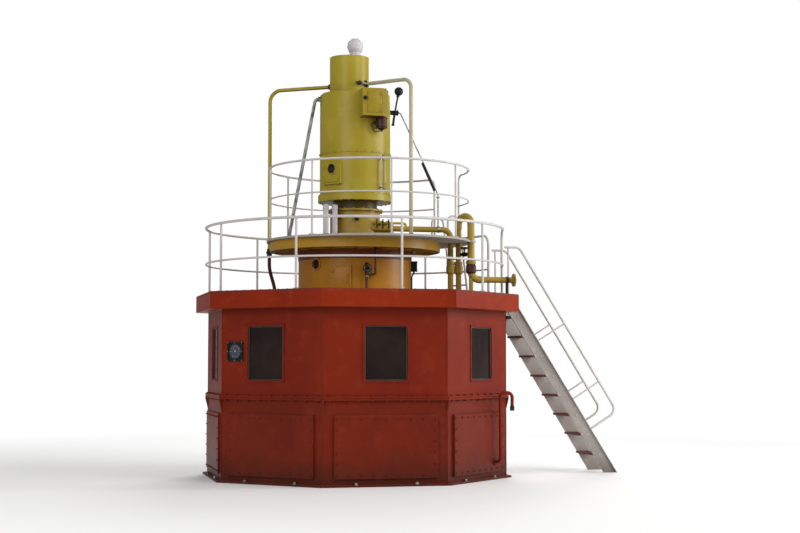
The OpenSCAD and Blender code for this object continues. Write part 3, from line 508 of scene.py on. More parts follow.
def circle(count, radius, height, out=None, centre=(0, 0), first=0.0):
    """Frames round a circle. They point along out, or away from the axis without it."""
    spots = [at_bearing(first + 360.0 * k / count, radius, height, centre) for k in range(count)]
    return [place(spot.translation, out) for spot in spots] if out else spots


def ring_on_face(face, count, radius, out, first=0.0):
    """Frames round a circle that lies on a face, raised by out. First is a part of their pitch."""
    return [shifted(face @ Matrix.Rotation((k + first) * 2 * math.pi / count, 4, "Z"), radius, 0, out)
            for k in range(count)]


def rounded(points, bends, steps):
    """The corner points of a run with an arc of the given radius at each inner corner."""
    points = [Vector(p) for p in points]
    run = [points[0]]
    for before, corner, after, bend in zip(points, points[1:], points[2:], bends):
        u = (corner - before).normalized()
        v = (after - corner).normalized()
        turn = u.angle(v)
        inward = (v - u * v.dot(u)).normalized()
        centre = corner - u * bend * math.tan(turn / 2) + inward * bend
        for step in range(steps + 1):
            angle = turn * step / steps
            run.append(centre + (u * math.sin(angle) - inward * math.cos(angle)) * bend)
    run.append(points[-1])
    return run


# Making pieces

def new_object(name, data):
    """An object in the scene, at the origin."""
    made = bpy.data.objects.new(name, data)
    bpy.context.scene.collection.objects.link(made)
    return made


def add_piece(name, mesh, material, smooth=30.0):
    """Makes a mesh a piece of the machine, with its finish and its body."""
    mesh.materials.clear()
    mesh.materials.append(material)
    mesh.shade_smooth()
    mesh.set_sharp_from_angle(angle=math.radians(smooth))
    piece = new_object(name, mesh)
    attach(piece, "root")
    return piece


class Shapes:
    """Collects closed shapes into one mesh."""

    def __init__(self):
        self.bm = bmesh.new()

    def take(self, part, frame_at):
        """Adds a shape, moved to a frame, with its faces pointing outwards."""
        bmesh.ops.recalc_face_normals(part, faces=part.faces)
        part.transform(frame_at)
        scratch = bpy.data.meshes.new("scratch")
        part.to_mesh(scratch)
        part.free()
        self.bm.from_mesh(scratch)
        bpy.data.meshes.remove(scratch)

    def turned(self, frame_at, profile, steps=32, closed=False):
        """A profile of radius and height pairs, spun round Z. A closed one makes a ring."""
        part = bmesh.new()
        turns = [2 * math.pi * k / steps for k in range(steps)]
        rings = []
        for radius, height in profile:
            on_ring = [(radius * math.cos(t), radius * math.sin(t), height) for t in turns]
            rings.append([part.verts.new(spot) for spot in on_ring[:1 if radius < 1e-6 else steps]])
        for low, high in zip(rings, rings[1:] + rings[:1] if closed else rings[1:]):
            for k in range(steps):
                corners = [low[k % len(low)], low[(k + 1) % len(low)],
                           high[(k + 1) % len(high)], high[k % len(high)]]
                part.faces.new(list(dict.fromkeys(corners)))
        self.take(part, frame_at)

    def ring(self, frame_at, inner, outer, low, high, edge=0.0, steps=28):
        """A flat ring, with its upper outer edge bevelled by edge."""
        top = [(outer, high - edge), (outer - edge, high)] if edge else [(outer, high)]
        self.turned(frame_at, [(inner, low), (outer, low), *top, (inner, high)], steps, closed=True)

    def plug(self, frame_at, radius, low, high, edge=0.0, steps=24):
        """A short round plug, with its upper edge bevelled by edge."""
        top = [(radius, high - edge), (radius - edge, high)] if edge else [(radius, high)]
        self.turned(frame_at, [(0, low), (radius, low), *top, (0, high)], steps)

    def bead(self, frame_at, radius, thickness, steps=18, sides=6):
        """A ring of round bar in the XY plane of a frame."""
        turns = [2 * math.pi * j / sides for j in range(sides)]
        self.turned(frame_at, [(radius + thickness / 2 * math.cos(t), thickness / 2 * math.sin(t))
                               for t in turns], steps, closed=True)

    def block(self, frame_at, size, edge=0.0):
        """A box centred on X and Y that rises from Z 0, with its edges rounded by edge."""
        part = bmesh.new()
        bmesh.ops.create_cube(part, size=1.0)
        part.transform(Matrix.Translation((0, 0, size[2] / 2)) @ Matrix.Diagonal((*size, 1.0)))
        if edge:
            bmesh.ops.bevel(part, geom=list(part.edges), offset=edge, segments=2, profile=0.5,
                            affect="EDGES")
        self.take(part, frame_at)

    def prism(self, frame_at, outline, height):
        """A flat outline in the XY plane of a frame, raised along Z."""
        part = bmesh.new()
        low = [part.verts.new((x, y, 0)) for x, y in outline]
        high = [part.verts.new((x, y, height)) for x, y in outline]
        for k in range(len(outline)):
            after = (k + 1) % len(outline)
            part.faces.new([low[k], low[after], high[after], high[k]])
        part.faces.new(low[::-1])
        part.faces.new(high)
        self.take(part, frame_at)

    def tube(self, points, radius, sides=14):
        """A round tube along points, with flat ends."""
        part = bmesh.new()
        points = [Vector(p) for p in points]
        turns = [2 * math.pi * j / sides for j in range(sides)]
        side = (points[1] - points[0]).orthogonal().normalized()
        rings = []
        for before, point, after in zip(points[:1] + points, points, points[1:] + points[-1:]):
            ahead = (after - before).normalized()
            side = (side - ahead * side.dot(ahead)).normalized()
            other = ahead.cross(side)
            rings.append([part.verts.new(point + radius * (side * math.cos(t) + other * math.sin(t)))
                          for t in turns])
        for low, high in zip(rings, rings[1:]):
            for j in range(sides):
                part.faces.new([low[j], low[(j + 1) % sides], high[(j + 1) % sides], high[j]])
        part.faces.new(rings[0][::-1])
        part.faces.new(rings[-1])
        self.take(part, Matrix())

    def piece(self, name, material):
        mesh = bpy.data.meshes.new(name)
        self.bm.to_mesh(mesh)
        self.bm.free()
        return add_piece(name, mesh, material)


def hinge(shapes, frame_at, length=0.08, radius=0.008):
    """A barrel along Y with a leaf on each side, on a face."""
    gap = 0.001
    barrel = shifted(frame_at, 0, 0, radius) @ Matrix.Rotation(-math.pi / 2, 4, "X")
    for k in range(3):
        low = (k / 3 - 0.5) * length + gap
        shapes.plug(barrel, radius, low, low + length / 3 - 2 * gap, steps=14)
    for side in (-1, 1):
        shapes.block(shifted(frame_at, side * radius * 2.2), (radius * 3, length * 0.9, radius * 0.5), 0.001)


def pull(shapes, frame_at, length, height, radius):
    """A bent bar handle along Y."""
    corners = [(0, -length / 2, 0), (0, -length / 2, height), (0, length / 2, height), (0, length / 2, 0)]
    shapes.tube([frame_at @ p for p in rounded(corners, [height * 0.45] * 2, 6)], radius, 10)
    for side in (-1, 1):
        shapes.plug(shifted(frame_at, 0, side * length / 2), radius * 1.9, 0, 0.005, steps=14)


def handwheel(shapes, frame_at, radius, bar):
    """A rim, a hub and three spokes, with the stem along Z."""
    shapes.bead(frame_at, radius, bar, 32, 8)
    shapes.plug(frame_at, bar * 1.2, -bar * 2, bar, bar * 0.4, 14)
    for k in range(3):
        turn = 2 * math.pi * k / 3
        tip = Vector((radius * math.cos(turn), radius * math.sin(turn), 0))
        shapes.tube([frame_at.translation, frame_at @ tip], bar * 0.38, 8)


# Geometry trees

class GeometryTree(Graph):
    """A geometry tree with named inputs."""

    def __init__(self, name, *sizes):
        super().__init__(bpy.data.node_groups.new(name, "GeometryNodeTree"))
        panel = self.tree.interface
        for label, kind in [("Geometry", "Geometry"), *[(size, "Float") for size in sizes],
                            ("Material", "Material")]:
            panel.new_socket(label, in_out="INPUT", socket_type="NodeSocket" + kind)
        panel.new_socket("Geometry", in_out="OUTPUT", socket_type="NodeSocketGeometry")
        self.start = self.tree.nodes.new("NodeGroupInput")
        self.end = self.tree.nodes.new("NodeGroupOutput")

    def given(self, name):
        return Wire(self, self.start.outputs[name])

    def stored(self, name, kind):
        return self.node("GeometryNodeInputNamedAttribute", {"Name": name}, data_type=kind)

    def finish(self, geometry):
        plain = self.node("GeometryNodeRealizeInstances", {0: geometry})
        coated = self.node("GeometryNodeSetMaterial", {"Geometry": plain, "Material": self.given("Material")})
        self.tree.links.new(coated.socket, self.end.inputs[0])
        return self.tree


def hex_bolt_tree():
    """A hexagon head on a washer at each point, turned to the point's facing."""
    tree = GeometryTree("hex_bolts", "Head Width", "Head Height", "Washer Width", "Washer Height")
    across_flats = 0.5 / math.cos(math.pi / 6)
    half, head_h = tree.given("Head Width") * across_flats, tree.given("Head Height")
    washer_r, washer_h = tree.given("Washer Width") * 0.5, tree.given("Washer Height")
    shank_h, crown_h = head_h * 0.8, head_h * 0.2
    shank = tree.node("GeometryNodeMeshCylinder", {"Vertices": 6, "Radius": half, "Depth": shank_h}, "Mesh")
    crown = tree.node("GeometryNodeMeshCone",
                      {"Vertices": 6, "Radius Top": half * 0.82, "Radius Bottom": half, "Depth": crown_h},
                      "Mesh")
    washer = tree.node("GeometryNodeMeshCylinder",
                       {"Vertices": 16, "Radius": washer_r, "Depth": washer_h}, "Mesh")

    def raised(mesh, height):
        lift = tree.node("ShaderNodeCombineXYZ", {"Z": height})
        return tree.node("GeometryNodeTransform", {"Geometry": mesh, "Translation": lift})

    # A cone's mesh starts at its foot and a cylinder's at its middle
    parts = [raised(shank, washer_h + shank_h * 0.5), raised(crown, washer_h + shank_h),
             raised(washer, washer_h * 0.5)]
    bolt = tree.node("GeometryNodeJoinGeometry", {0: parts})
    aim = tree.node("FunctionNodeAlignRotationToVector", {"Vector": tree.stored("facing", "FLOAT_VECTOR")},
                    axis="Z")
    spin = tree.node("FunctionNodeRandomValue", {"Min": 0.0, "Max": math.pi / 3, "Seed": 5}, 1,
                     data_type="FLOAT")
    about = tree.node("FunctionNodeAxisAngleToRotation", {"Axis": (0, 0, 1), "Angle": spin})
    turned = tree.node("FunctionNodeRotateRotation", {"Rotation": aim, "Rotate By": about},
                       rotation_space="LOCAL")
    return tree.finish(tree.node("GeometryNodeInstanceOnPoints",
                                 {"Points": tree.given("Geometry"), "Instance": bolt, "Rotation": turned}))


def ribbed_tube_tree():
    """A tube along an edge path whose radius swells and shrinks at a steady pitch."""
    tree = GeometryTree("ribbed_tube", "Radius", "Rib Depth", "Pitch")
    pitch = tree.given("Pitch")
    path = tree.node("GeometryNodeMeshToCurve", {"Mesh": tree.given("Geometry")})
    path = tree.node("GeometryNodeResampleCurve", {"Curve": path, "Length": pitch * 0.25}, mode="LENGTH")
    length = tree.node("GeometryNodeSplineParameter", out="Length")
    wave = tree.maths("SINE", length / pitch * (2 * math.pi))
    radius = tree.given("Radius") + wave * (tree.given("Rib Depth") * 0.5)
    ring = tree.node("GeometryNodeCurvePrimitiveCircle", {"Resolution": 16, "Radius": 1.0}, "Curve")
    return tree.finish(tree.node("GeometryNodeCurveToMesh", {"Curve": path, "Profile Curve": ring,
                                                             "Scale": radius, "Fill Caps": True}))


def flat_bar_tree():
    """An upright flat bar at each point, as long as the point's span, turned by its turn."""
    tree = GeometryTree("flat_bars", "Thickness", "Depth")
    bar = tree.node("GeometryNodeMeshCube", {"Size": (1, 1, 1)}, "Mesh")
    size = tree.node("ShaderNodeCombineXYZ", {"X": tree.stored("span", "FLOAT"),
                                              "Y": tree.given("Thickness"), "Z": tree.given("Depth")})
    turn = tree.node("FunctionNodeAxisAngleToRotation",
                     {"Axis": (0, 0, 1), "Angle": tree.stored("turn", "FLOAT")})
    return tree.finish(tree.node("GeometryNodeInstanceOnPoints",
                                 {"Points": tree.given("Geometry"), "Instance": bar, "Rotation": turn,
                                  "Scale": size}))


HEX_BOLTS = hex_bolt_tree()
RIBBED_TUBE = ribbed_tube_tree()
FLAT_BARS = flat_bar_tree()


def grow(name, seed, tree, sizes, material, smooth=30.0):
    """Runs a geometry tree on a mesh and keeps the result as a plain piece."""
    carrier = new_object(name + "_carrier", seed)
    modifier = carrier.modifiers.new("grow", "NODES")
    modifier.node_group = tree
    values = dict(sizes, Material=material)
    for item in tree.interface.items_tree:
        if item.in_out == "INPUT" and item.name in values:
            modifier[item.identifier] = values[item.name]
    graph = bpy.context.evaluated_depsgraph_get()
    mesh = bpy.data.meshes.new_from_object(carrier.evaluated_get(graph), depsgraph=graph)
    carrier.modifiers.remove(modifier)
    bpy.data.objects.remove(carrier)
    mesh.name = name
    return add_piece(name, mesh, material, smooth)


def seed_mesh(name, points, edges=(), **attributes):
    """Points with edges or loose, and one value of each attribute a point."""
    mesh = bpy.data.meshes.new(name)
    mesh.from_pydata([tuple(p) for p in points], edges, [])
    for key, values in attributes.items():
        is_number = isinstance(values[0], float)
        store = mesh.attributes.new(key, "FLOAT" if is_number else "FLOAT_VECTOR", "POINT")
        for item, value in zip(store.data, values):
            setattr(item, "value" if is_number else "vector", value)
    return mesh


def bolt_up(name, frames, width, material, head=BOLT_HEAD):
    """Hexagon bolts with washers at frames whose Z points along the bolt. Head is a part of width."""
    seeds = seed_mesh(name, [f.translation for f in frames], facing=[f.to_3x3().col[2] for f in frames])
    grow(name, seeds, HEX_BOLTS, {"Head Width": width, "Head Height": width * head,
                                  "Washer Width": width * 1.75, "Washer Height": width * 0.14}, material)


def ribbed_tube(name, points, radius, rib, pitch, material):
    edges = [(k, k + 1) for k in range(len(points) - 1)]
    return grow(name, seed_mesh(name + "_path", points, edges), RIBBED_TUBE,
                {"Radius": radius, "Rib Depth": rib, "Pitch": pitch}, material, 60.0)


def flat_bars(name, bars, thickness, depth, material):
    """Upright flat bars, given as the middle, the length and the turn of each."""
    middles, spans, turns = zip(*bars)
    return grow(name, seed_mesh(name, middles, span=spans, turn=turns), FLAT_BARS,
                {"Thickness": thickness, "Depth": depth}, material)


# Housing

def corner_spots(out, height):
    """The eight corners of an octagon at a height."""
    reach = out / math.cos(math.pi / SIDES)
    return [heading(angle + 180 / SIDES)[0] * reach + UP * height for angle in WALLS]


def weld_beads():
    """Welds up the corners, along the foot, along the belt and under the roof edge."""
    upright, level, gusset_drop = 0.007, 0.006, 0.2
    beads = Shapes()
    for low, high in ((BELT_HIGH, FASCIA_LOW), (FOOT_HIGH, BELT_LOW - gusset_drop)):
        for ends in zip(corner_spots(HOUSING_OUT, low), corner_spots(HOUSING_OUT, high)):
            beads.tube(ends, upright, 8)
    for height in (FOOT_HIGH, BELT_HIGH, FASCIA_LOW):
        corners = corner_spots(HOUSING_OUT, height)
        for ends in zip(corners, corners[1:] + corners[:1]):
            beads.tube(ends, level, 6)
    beads.piece("housing_weld_beads", HOUSING_RED)
    edges = Shapes()
    for ends in zip(corner_spots(ROOF_OUT, FASCIA_LOW), corner_spots(ROOF_OUT, DECK - 0.002)):
        edges.tube(ends, level, 8)
    edges.piece("fascia_corner_beads", ROOF_RED)


def housing_bolts():
    """The bolts of the belt and of the foot, and the screws round the cover on each lower wall."""
    count, pitch, out = 9, 0.218, 0.024
    rows = zip(wall_rows(count, pitch, out, BELT_HIGH, UP), wall_rows(count, pitch, out, BELT_LOW, -UP))
    bolt_up("belt_bolts", [spot for pair in rows for spot in pair], 0.03, HOUSING_RED)
    anchors = 2 * SIDES
    radius = (HOUSING_OUT + 0.04) / math.cos(math.pi / anchors)
    bolt_up("anchor_bolts", circle(anchors, radius, FOOT_HIGH, UP, first=180 / anchors), 0.046, STEEL)
    low, high, half = 0.17, 1.02, 0.77
    screws = []
    for angle in WALLS:
        screws += border(on_wall(angle, 0, COVER_OUT, (low + high) / 2), 2 * half, high - low, 9, 6)
    bolt_up("cover_screws", screws, 0.02, LOWER_RED_SHADED)


def window_offset(angle):
    """How far a window stands from the middle of its wall: the slanting walls' stand off it."""
    turn = math.radians(angle)
    if angle % 90 == 0:
        return 0.0
    return math.copysign(0.12, math.cos(turn) * math.sin(turn))


def window_seals():
    """A rubber seal round every pane, the rounded corners and the screws of its frame."""
    seal_w, seal_out, seal_edge = 0.02, 0.016, 0.004
    frame_out, frame_depth, screw_gap = 0.012, 0.022, 0.03
    bend, steps = 0.055, 6
    arc = [(bend - bend * math.sin(t), bend - bend * math.cos(t))
           for t in (math.pi / 2 * k / steps for k in range(steps + 1))]
    seals, corners = Shapes(), Shapes()
    screws = []
    for angle in WALLS:
        glass, face = (on_wall(angle, window_offset(angle), out, WINDOW_LOW + WINDOW_H / 2)
                       for out in (-0.02, frame_out))
        for side in (-1, 1):
            seals.block(shifted(glass, side * (WINDOW_W - seal_w) / 2), (seal_w, WINDOW_H, seal_out),
                        seal_edge)
            seals.block(shifted(glass, 0, side * (WINDOW_H - seal_w) / 2),
                        (WINDOW_W - 2 * seal_w, seal_w, seal_out), seal_edge)
        screws += border(face, WINDOW_W + screw_gap, WINDOW_H + screw_gap, 5, 6)
        for side, rise in ((1, 1), (-1, 1), (-1, -1), (1, -1)):
            corner = shifted(face, side * WINDOW_W / 2, rise * WINDOW_H / 2, -frame_depth)
            corners.prism(corner, [(0, 0)] + [(-side * x, -rise * y) for x, y in arc], frame_depth)
    corners.piece("window_corners", HOUSING_RED)
    seals.piece("window_seals", RUBBER)
    bolt_up("window_screws", screws, 0.012, HOUSING_RED, FLAT_HEAD)


def instrument():
    """A dial with ticks and a needle behind the small window, and the window's screws."""
    dial_r, face_out, rim_out, screw_span = 0.1, 0.0103, 0.0263, 0.276
    face, rim = (on_wall(INSTRUMENT_WALL, INSTRUMENT_ALONG, out, INSTRUMENT_Z) for out in (face_out, rim_out))
    dial = Shapes()
    dial.plug(face, dial_r, 0, 0.003, steps=40)
    dial.ring(face, dial_r, dial_r + 0.012, 0, 0.01, 0.003, 40)
    dial.piece("instrument_dial", DIAL)
    marks = Shapes()
    ticks, first, sweep = 11, -120, 300
    for k in range(ticks):
        turn = math.radians(first + sweep * k / (ticks - 1))
        tick = shifted(face @ Matrix.Rotation(turn, 4, "Z"), 0.084, 0, 0.003)
        marks.block(tick, (0.018, 0.004 if k % 5 else 0.007, 0.0008))
    marks.block(shifted(face @ Matrix.Rotation(2.2, 4, "Z"), 0.03, 0, 0.005), (0.075, 0.005, 0.0015))
    marks.plug(face, 0.01, 0.003, 0.008, 0.002, 16)
    marks.piece("instrument_marks", LAMP_WHITE)
    bolt_up("instrument_screws", border(rim, screw_span, screw_span, 3, 3), 0.01, STEEL, FLAT_HEAD)


def gooseneck_fittings():
    """A flange where the vent leaves the cover, and the hood on its mouth."""
    wall, pipe_r, flange_t, mouth_z = -45, 0.028, 0.012, 1.13
    root = place(on_wall(wall, -0.5, COVER_OUT, 0.28).translation, (1, -1, 0))
    flange = Shapes()
    flange.ring(root, pipe_r, pipe_r + 0.027, 0, flange_t, 0.002)
    flange.piece("gooseneck_flange", HOUSING_RED)
    bolt_up("gooseneck_bolts", ring_on_face(root, 4, 0.042, flange_t), 0.012, HOUSING_RED)
    mouth = place((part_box("vent_gooseneck")[1].x - 0.0285, on_wall(wall, -0.64, 0.285, 0).translation.y,
                   mouth_z))
    hood = Shapes()
    hood.ring(mouth, 0.024, 0.036, -0.03, 0.045, 0.004)
    hood.plug(mouth, 0.026, -0.026, -0.018, steps=28)
    hood.piece("gooseneck_hood", BLACK)


# Roof

def deck_screws():
    """Countersunk screws along the edge of the roof deck."""
    bolt_up("deck_screws", wall_rows(12, 0.165, -0.025, DECK, UP, ROOF_OUT), 0.016, ROOF_RED, SUNK_HEAD)


def rail_fittings(name, rail):
    """Weld rings where the tubes meet, and the screws of the foot plates."""
    foot_t, screw_r = 0.01, 0.034
    rings = Shapes()
    screws = []
    last = len(rail["angles"]) - 1
    for k, angle in enumerate(rail["angles"]):
        outward, along = heading(angle)
        is_end = k in (0, last)
        radius = math.hypot(rail["radius"], rail["bend"]) if is_end else rail["radius"]
        tube = rail["top_tube"] if is_end else rail["post"]
        foot = outward * radius + Vector((*rail["centre"], rail["floor"]))
        rings.bead(place(foot + UP * (foot_t + 0.001)), tube / 2, 0.010)
        for side in (-1, 1):
            if (k, side) not in ((0, -1), (last, 1)):
                spot = foot + UP * rail["middle"] + along * side * tube / 2
                rings.bead(place(spot, along), rail["middle_tube"] / 2, 0.007)
        if not is_end:
            rings.bead(place(foot + UP * (rail["top"] - rail["top_tube"] / 2)), tube / 2, 0.008)
        screws += [place(foot + heading(angle + 45 + 90 * j)[0] * screw_r + UP * foot_t) for j in range(4)]
    rings.piece(name + "_weld_rings", RAIL_WHITE)
    bolt_up(name + "_foot_screws", screws, 0.013, STEEL)


# Bearing housing

def bearing_bolts():
    """Bolts round the foot, but not under the hatch, and round the ring at the top."""
    hatch_gap = 11
    foot = [spot for spot in circle(30, BEARING_R + 0.025, DECK + 0.03, UP, first=2)
            if abs(math.degrees(math.atan2(spot.translation.x, -spot.translation.y)) - HATCH_BEARING)
            > hatch_gap]
    bolt_up("bearing_foot_bolts", foot, 0.026, AMBER)
    ring = circle(30, BEARING_R + 0.026, DISC_LOW - 0.03, -UP, first=2)
    bolt_up("bearing_ring_bolts", ring, 0.022, RING_BROWN_SHADED)


def bearing_port():
    """The bezel round the port."""
    face = at_bearing(PORT_BEARING, BEARING_R, PORT_Z)
    bezel = Shapes()
    bezel.ring(face, 0.079, 0.108, -0.012, 0.012, 0.004, 40)
    bezel.piece("port_bezel", AMBER)
    bolt_up("port_screws", ring_on_face(face, 8, 0.093, 0.012), 0.012, STEEL, SCREW_HEAD)


def bearing_hatch():
    """Hinges, a handle and the screws of the hatch."""
    sheet_in, screw_in = 0.05, 0.025
    face = at_bearing(HATCH_BEARING, BEARING_R + 0.03, HATCH_Z)
    iron = Shapes()
    for side in (-1, 1):
        hinge(iron, shifted(face, -HATCH_W / 2 + 0.028, side * 0.13, 0.003))
    pull(iron, shifted(face, HATCH_W / 2 - 0.055), 0.13, 0.035, 0.007)
    iron.piece("hatch_ironwork", AMBER)
    door = Shapes()
    door.block(face, (HATCH_W - sheet_in, HATCH_H - sheet_in, 0.004), 0.002)
    door.piece("hatch_door_sheet", AMBER)
    screws = border(face, HATCH_W - screw_in, HATCH_H - screw_in, 4, 5)
    bolt_up("hatch_screws", screws, 0.011, AMBER, SCREW_HEAD)


def bearing_valve():
    """The handwheel, the union nuts and the foot ring of the drain valve."""
    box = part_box("bearing_drain_valve")
    x, y, z = box[0].x + 0.045, box[0].y + 0.04, DECK + 0.4
    front = place((x, box[0].y - 0.03, z), FRONT)
    wheel = Shapes()
    handwheel(wheel, front, 0.062, 0.014)
    wheel.tube([front.translation, front.translation + Vector((0, 0.035, 0))], 0.01, 12)
    wheel.plug(place((x, y, box[0].z + 0.47)), 0.034, 0, 0.02, 0.008, 6)
    wheel.piece("valve_handwheel", BLACK)
    nuts = Shapes()
    for spot in (place((x, y, z - 0.13)), place((x + 0.035, y, z - 0.1), RIGHT),
                 place((x + 0.145, y, z + 0.2))):
        nuts.ring(spot, 0.016, 0.035, -0.012, 0.012, 0.003, 6)
    nuts.ring(place((x, y, DECK)), 0.02, 0.048, 0, 0.012, 0.003)
    nuts.ring(place((x, box[0].y, z), FRONT), 0.042, 0.053, 0, 0.012, 0.003, 24)
    nuts.piece("valve_nuts", STEEL)


def terminal_box():
    """The lid, its screws, the cable glands and the cable pipe of the terminal box."""
    width, height, lid_t, screw_in = 0.148, 0.178, 0.01, 0.024
    box_bearing, pipe_bearing = 75, 64
    front = at_bearing(box_bearing, BEARING_R + 0.09, DECK + 0.4 + 0.085)
    lid = Shapes()
    lid.block(front, (width, height, lid_t), 0.003)
    for side in (-1, 1):
        gland = shifted(front, side * 0.035, -0.085, -0.045) @ Matrix.Rotation(math.pi / 2, 4, "X")
        lid.plug(gland, 0.019, 0, 0.014, 0.002, 6)
        lid.plug(gland, 0.014, 0.014, 0.032, 0.004, 18)
    out = BEARING_R + 0.03
    foot = at_bearing(pipe_bearing, out, DECK + 0.03)
    corners = [at_bearing(box_bearing - 3, out + 0.02, DECK + 0.37),
               at_bearing(box_bearing - 5, out, DECK + 0.34),
               at_bearing(pipe_bearing, out, DECK + 0.30), foot]
    lid.tube(rounded([corner.translation for corner in corners], [0.02, 0.03], 6), 0.013, 12)
    lid.plug(foot @ Matrix.Rotation(-math.pi / 2, 4, "X"), 0.024, 0, 0.05, 0.005, 20)
    lid.piece("terminal_box_lid", BLACK)
    screws = border(shifted(front, z=lid_t), width - screw_in, height - screw_in, 2, 2)
    bolt_up("terminal_box_screws", screws, 0.01, STEEL, SCREW_HEAD)


# Platform

def bar_spans(level, axis, outline, holes):
    """The stretches of a bar at a level, inside one circle and outside the others."""
    def chord(ring):
        off = level - ring[1 - axis]
        if abs(off) >= ring[2]:
            return None
        half = math.sqrt(ring[2] ** 2 - off ** 2)
        return ring[axis] - half, ring[axis] + half

    shortest = 0.01
    outer = chord(outline)
    kept = [outer] if outer else []
    for hole in holes:
        cut = chord(hole)
        if cut:
            kept = [(low, high) for start, end in kept
                    for low, high in ((start, min(end, cut[0])), (max(start, cut[1]), end))
                    if high - low > shortest]
    return kept


def walkway_grating():
    """Bearing bars, cross bars and edge bands in place of the plain walkway."""
    pipe_gap, neck_gap, band = 0.015, 0.09, 0.006
    depth = WALKWAY - DISC_HIGH
    holes = [(0, 0, NECK_R + neck_gap), *[(x, SUPPLY_Y, SUPPLY_R + pipe_gap) for x in SUPPLY_X],
             (*RISER, RISER_R + pipe_gap)]
    inner = (PLATFORM_X, 0, WALKWAY_R - band)
    outer_holes = [(x, y, radius + band) for x, y, radius in holes]

    def rows(axis, pitch, height):
        count = int(WALKWAY_R / pitch)
        bars = []
        for k in range(-count, count + 1):
            level = k * pitch + (PLATFORM_X if axis else 0)
            for low, high in bar_spans(level, axis, inner, outer_holes):
                middle = ((low + high) / 2, level) if axis == 0 else (level, (low + high) / 2)
                bars.append(((*middle, height), high - low, axis * math.pi / 2))
        return bars

    bearing = flat_bars("walkway_bearing_bars", rows(0, 0.034, DISC_HIGH + depth / 2), 0.005,
                        depth - 0.002, GREY)
    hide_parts("platform_walkway")
    flat_bars("walkway_cross_bars", rows(1, 0.1, WALKWAY - 0.006), 0.007, 0.009, GREY)
    bands = Shapes()
    bands.ring(place((PLATFORM_X, 0, 0)), WALKWAY_R - band, WALKWAY_R, DISC_HIGH, WALKWAY, steps=160)
    for x, y, radius in holes:
        bands.ring(place((x, y, 0)), radius, radius + band, DISC_HIGH, WALKWAY,
                   steps=96 if radius > 0.3 else 32)
    bands.piece("walkway_edge_bands", GREY)


def ladder_fittings():
    """Weld rings at the ends of the rungs, and foot plates."""
    ladder_angle, rungs = 22, 3
    outward, across = heading(ladder_angle)
    middle = Vector((PLATFORM_X, 0, 0))
    foot_out, top_out = WALKWAY_R + 0.2203, WALKWAY_R + 0.0203
    hoop_z, half, tube_r, plate_t = WALKWAY + 0.5, 0.23, 0.019, 0.008
    rings = Shapes()
    screws = []
    for k in range(1, rungs + 1):
        height = DECK + k * (WALKWAY - DECK) / (rungs + 1)
        reach = foot_out + (top_out - foot_out) * (height - DECK) / (hoop_z - DECK)
        for side in (-1, 1):
            spot = middle + outward * reach + across * side * (half - tube_r) + UP * height
            rings.bead(place(spot, across), 0.015, 0.008)
    for reach, floor in ((foot_out, DECK), (WALKWAY_R - 0.22, WALKWAY)):
        for side in (-1, 1):
            foot = middle + outward * reach + across * side * half + UP * floor
            rings.ring(place(foot), 0.016, 0.05, 0, plate_t, 0.002)
            screws += [place(foot + across * way * 0.037 + UP * plate_t) for way in (-1, 1)]
    rings.piece("ladder_weld_rings", RAIL_WHITE)
    bolt_up("ladder_foot_screws", screws, 0.012, STEEL)


# Oil head

def neck_bolts():
    radius = NECK_R + 0.027
    rows = [circle(18, radius, height, way, first=5)
            for height, way in ((NECK_LOW + 0.03, UP), (NECK_HIGH, UP), (NECK_HIGH - 0.03, -UP))]
    bolt_up("neck_bolts", sum(rows, []), 0.022, OCHRE)


def neck_fittings():
    """A small black box and a round plug on the neck, and the manifold with its three cocks."""
    black, lines = Shapes(), Shapes()
    box, plug = at_bearing(-50, NECK_R, 4.30), at_bearing(-8, NECK_R, 4.26)
    black.block(box, (0.11, 0.07, 0.05), 0.006)
    for side in (-1, 1):
        black.plug(shifted(box, side * 0.03, 0, 0.05), 0.012, 0, 0.02, 0.003, 14)
    black.plug(plug, 0.038, 0, 0.045, 0.008)
    black.plug(plug, 0.016, 0.045, 0.075, 0.004, 6)
    header_z, header_end, cocks = SUPPLY_Z + SUPPLY_R + 0.045, 0.80, (0.29, 0.39, 0.49)
    lines.block(place((0.45, SUPPLY_Y + 0.12, WALKWAY)), (0.30, 0.16, 0.28), 0.008)
    corners = [(INSIDE_NECK, SUPPLY_Y, header_z), (header_end, SUPPLY_Y, header_z),
               (header_end, SUPPLY_Y, SUPPLY_Z)]
    lines.tube(rounded(corners, [0.04], 6), 0.021, 16)
    for x in cocks:
        spot = Vector((x, SUPPLY_Y, header_z))
        lines.plug(place(spot), 0.024, -0.06, 0.035, 0.004, 20)
        lines.ring(place(spot), 0.022, 0.034, 0.012, 0.03, 0.004, 6)
        lines.plug(place(spot, FRONT), 0.03, 0, 0.05, 0.004, 20)
        grip = place(spot + FRONT * 0.05, FRONT)
        black.plug(grip, 0.012, 0, 0.018, 0.002, 12)
        black.block(shifted(grip, 0, -0.02, 0.01), (0.022, 0.15, 0.008), 0.002)
    lines.piece("supply_links", LINK_YELLOW)
    black.piece("neck_black_fittings", BLACK)


def column_bolts():
    """Bolts of the flange at the column's foot, screws along its seam and bolts round the cap."""
    foot = (circle(28, COLUMN_R + 0.016, COLUMN_FLANGE, UP, first=4)
            + circle(28, COLUMN_R + 0.005, COLUMN_LOW, -UP, first=4))
    bolt_up("column_flange_bolts", foot, 0.02, YELLOW)
    seam = circle(28, COLUMN_R + 0.008, SEAM + 0.015, first=4)
    bolt_up("column_seam_screws", seam, 0.013, YELLOW, SCREW_HEAD)
    cap = circle(18, CAP_R + 0.022, SHOULDER + 0.024, UP, (CAP_X, 0), 3)
    bolt_up("cap_flange_bolts", cap, 0.02, YELLOW)


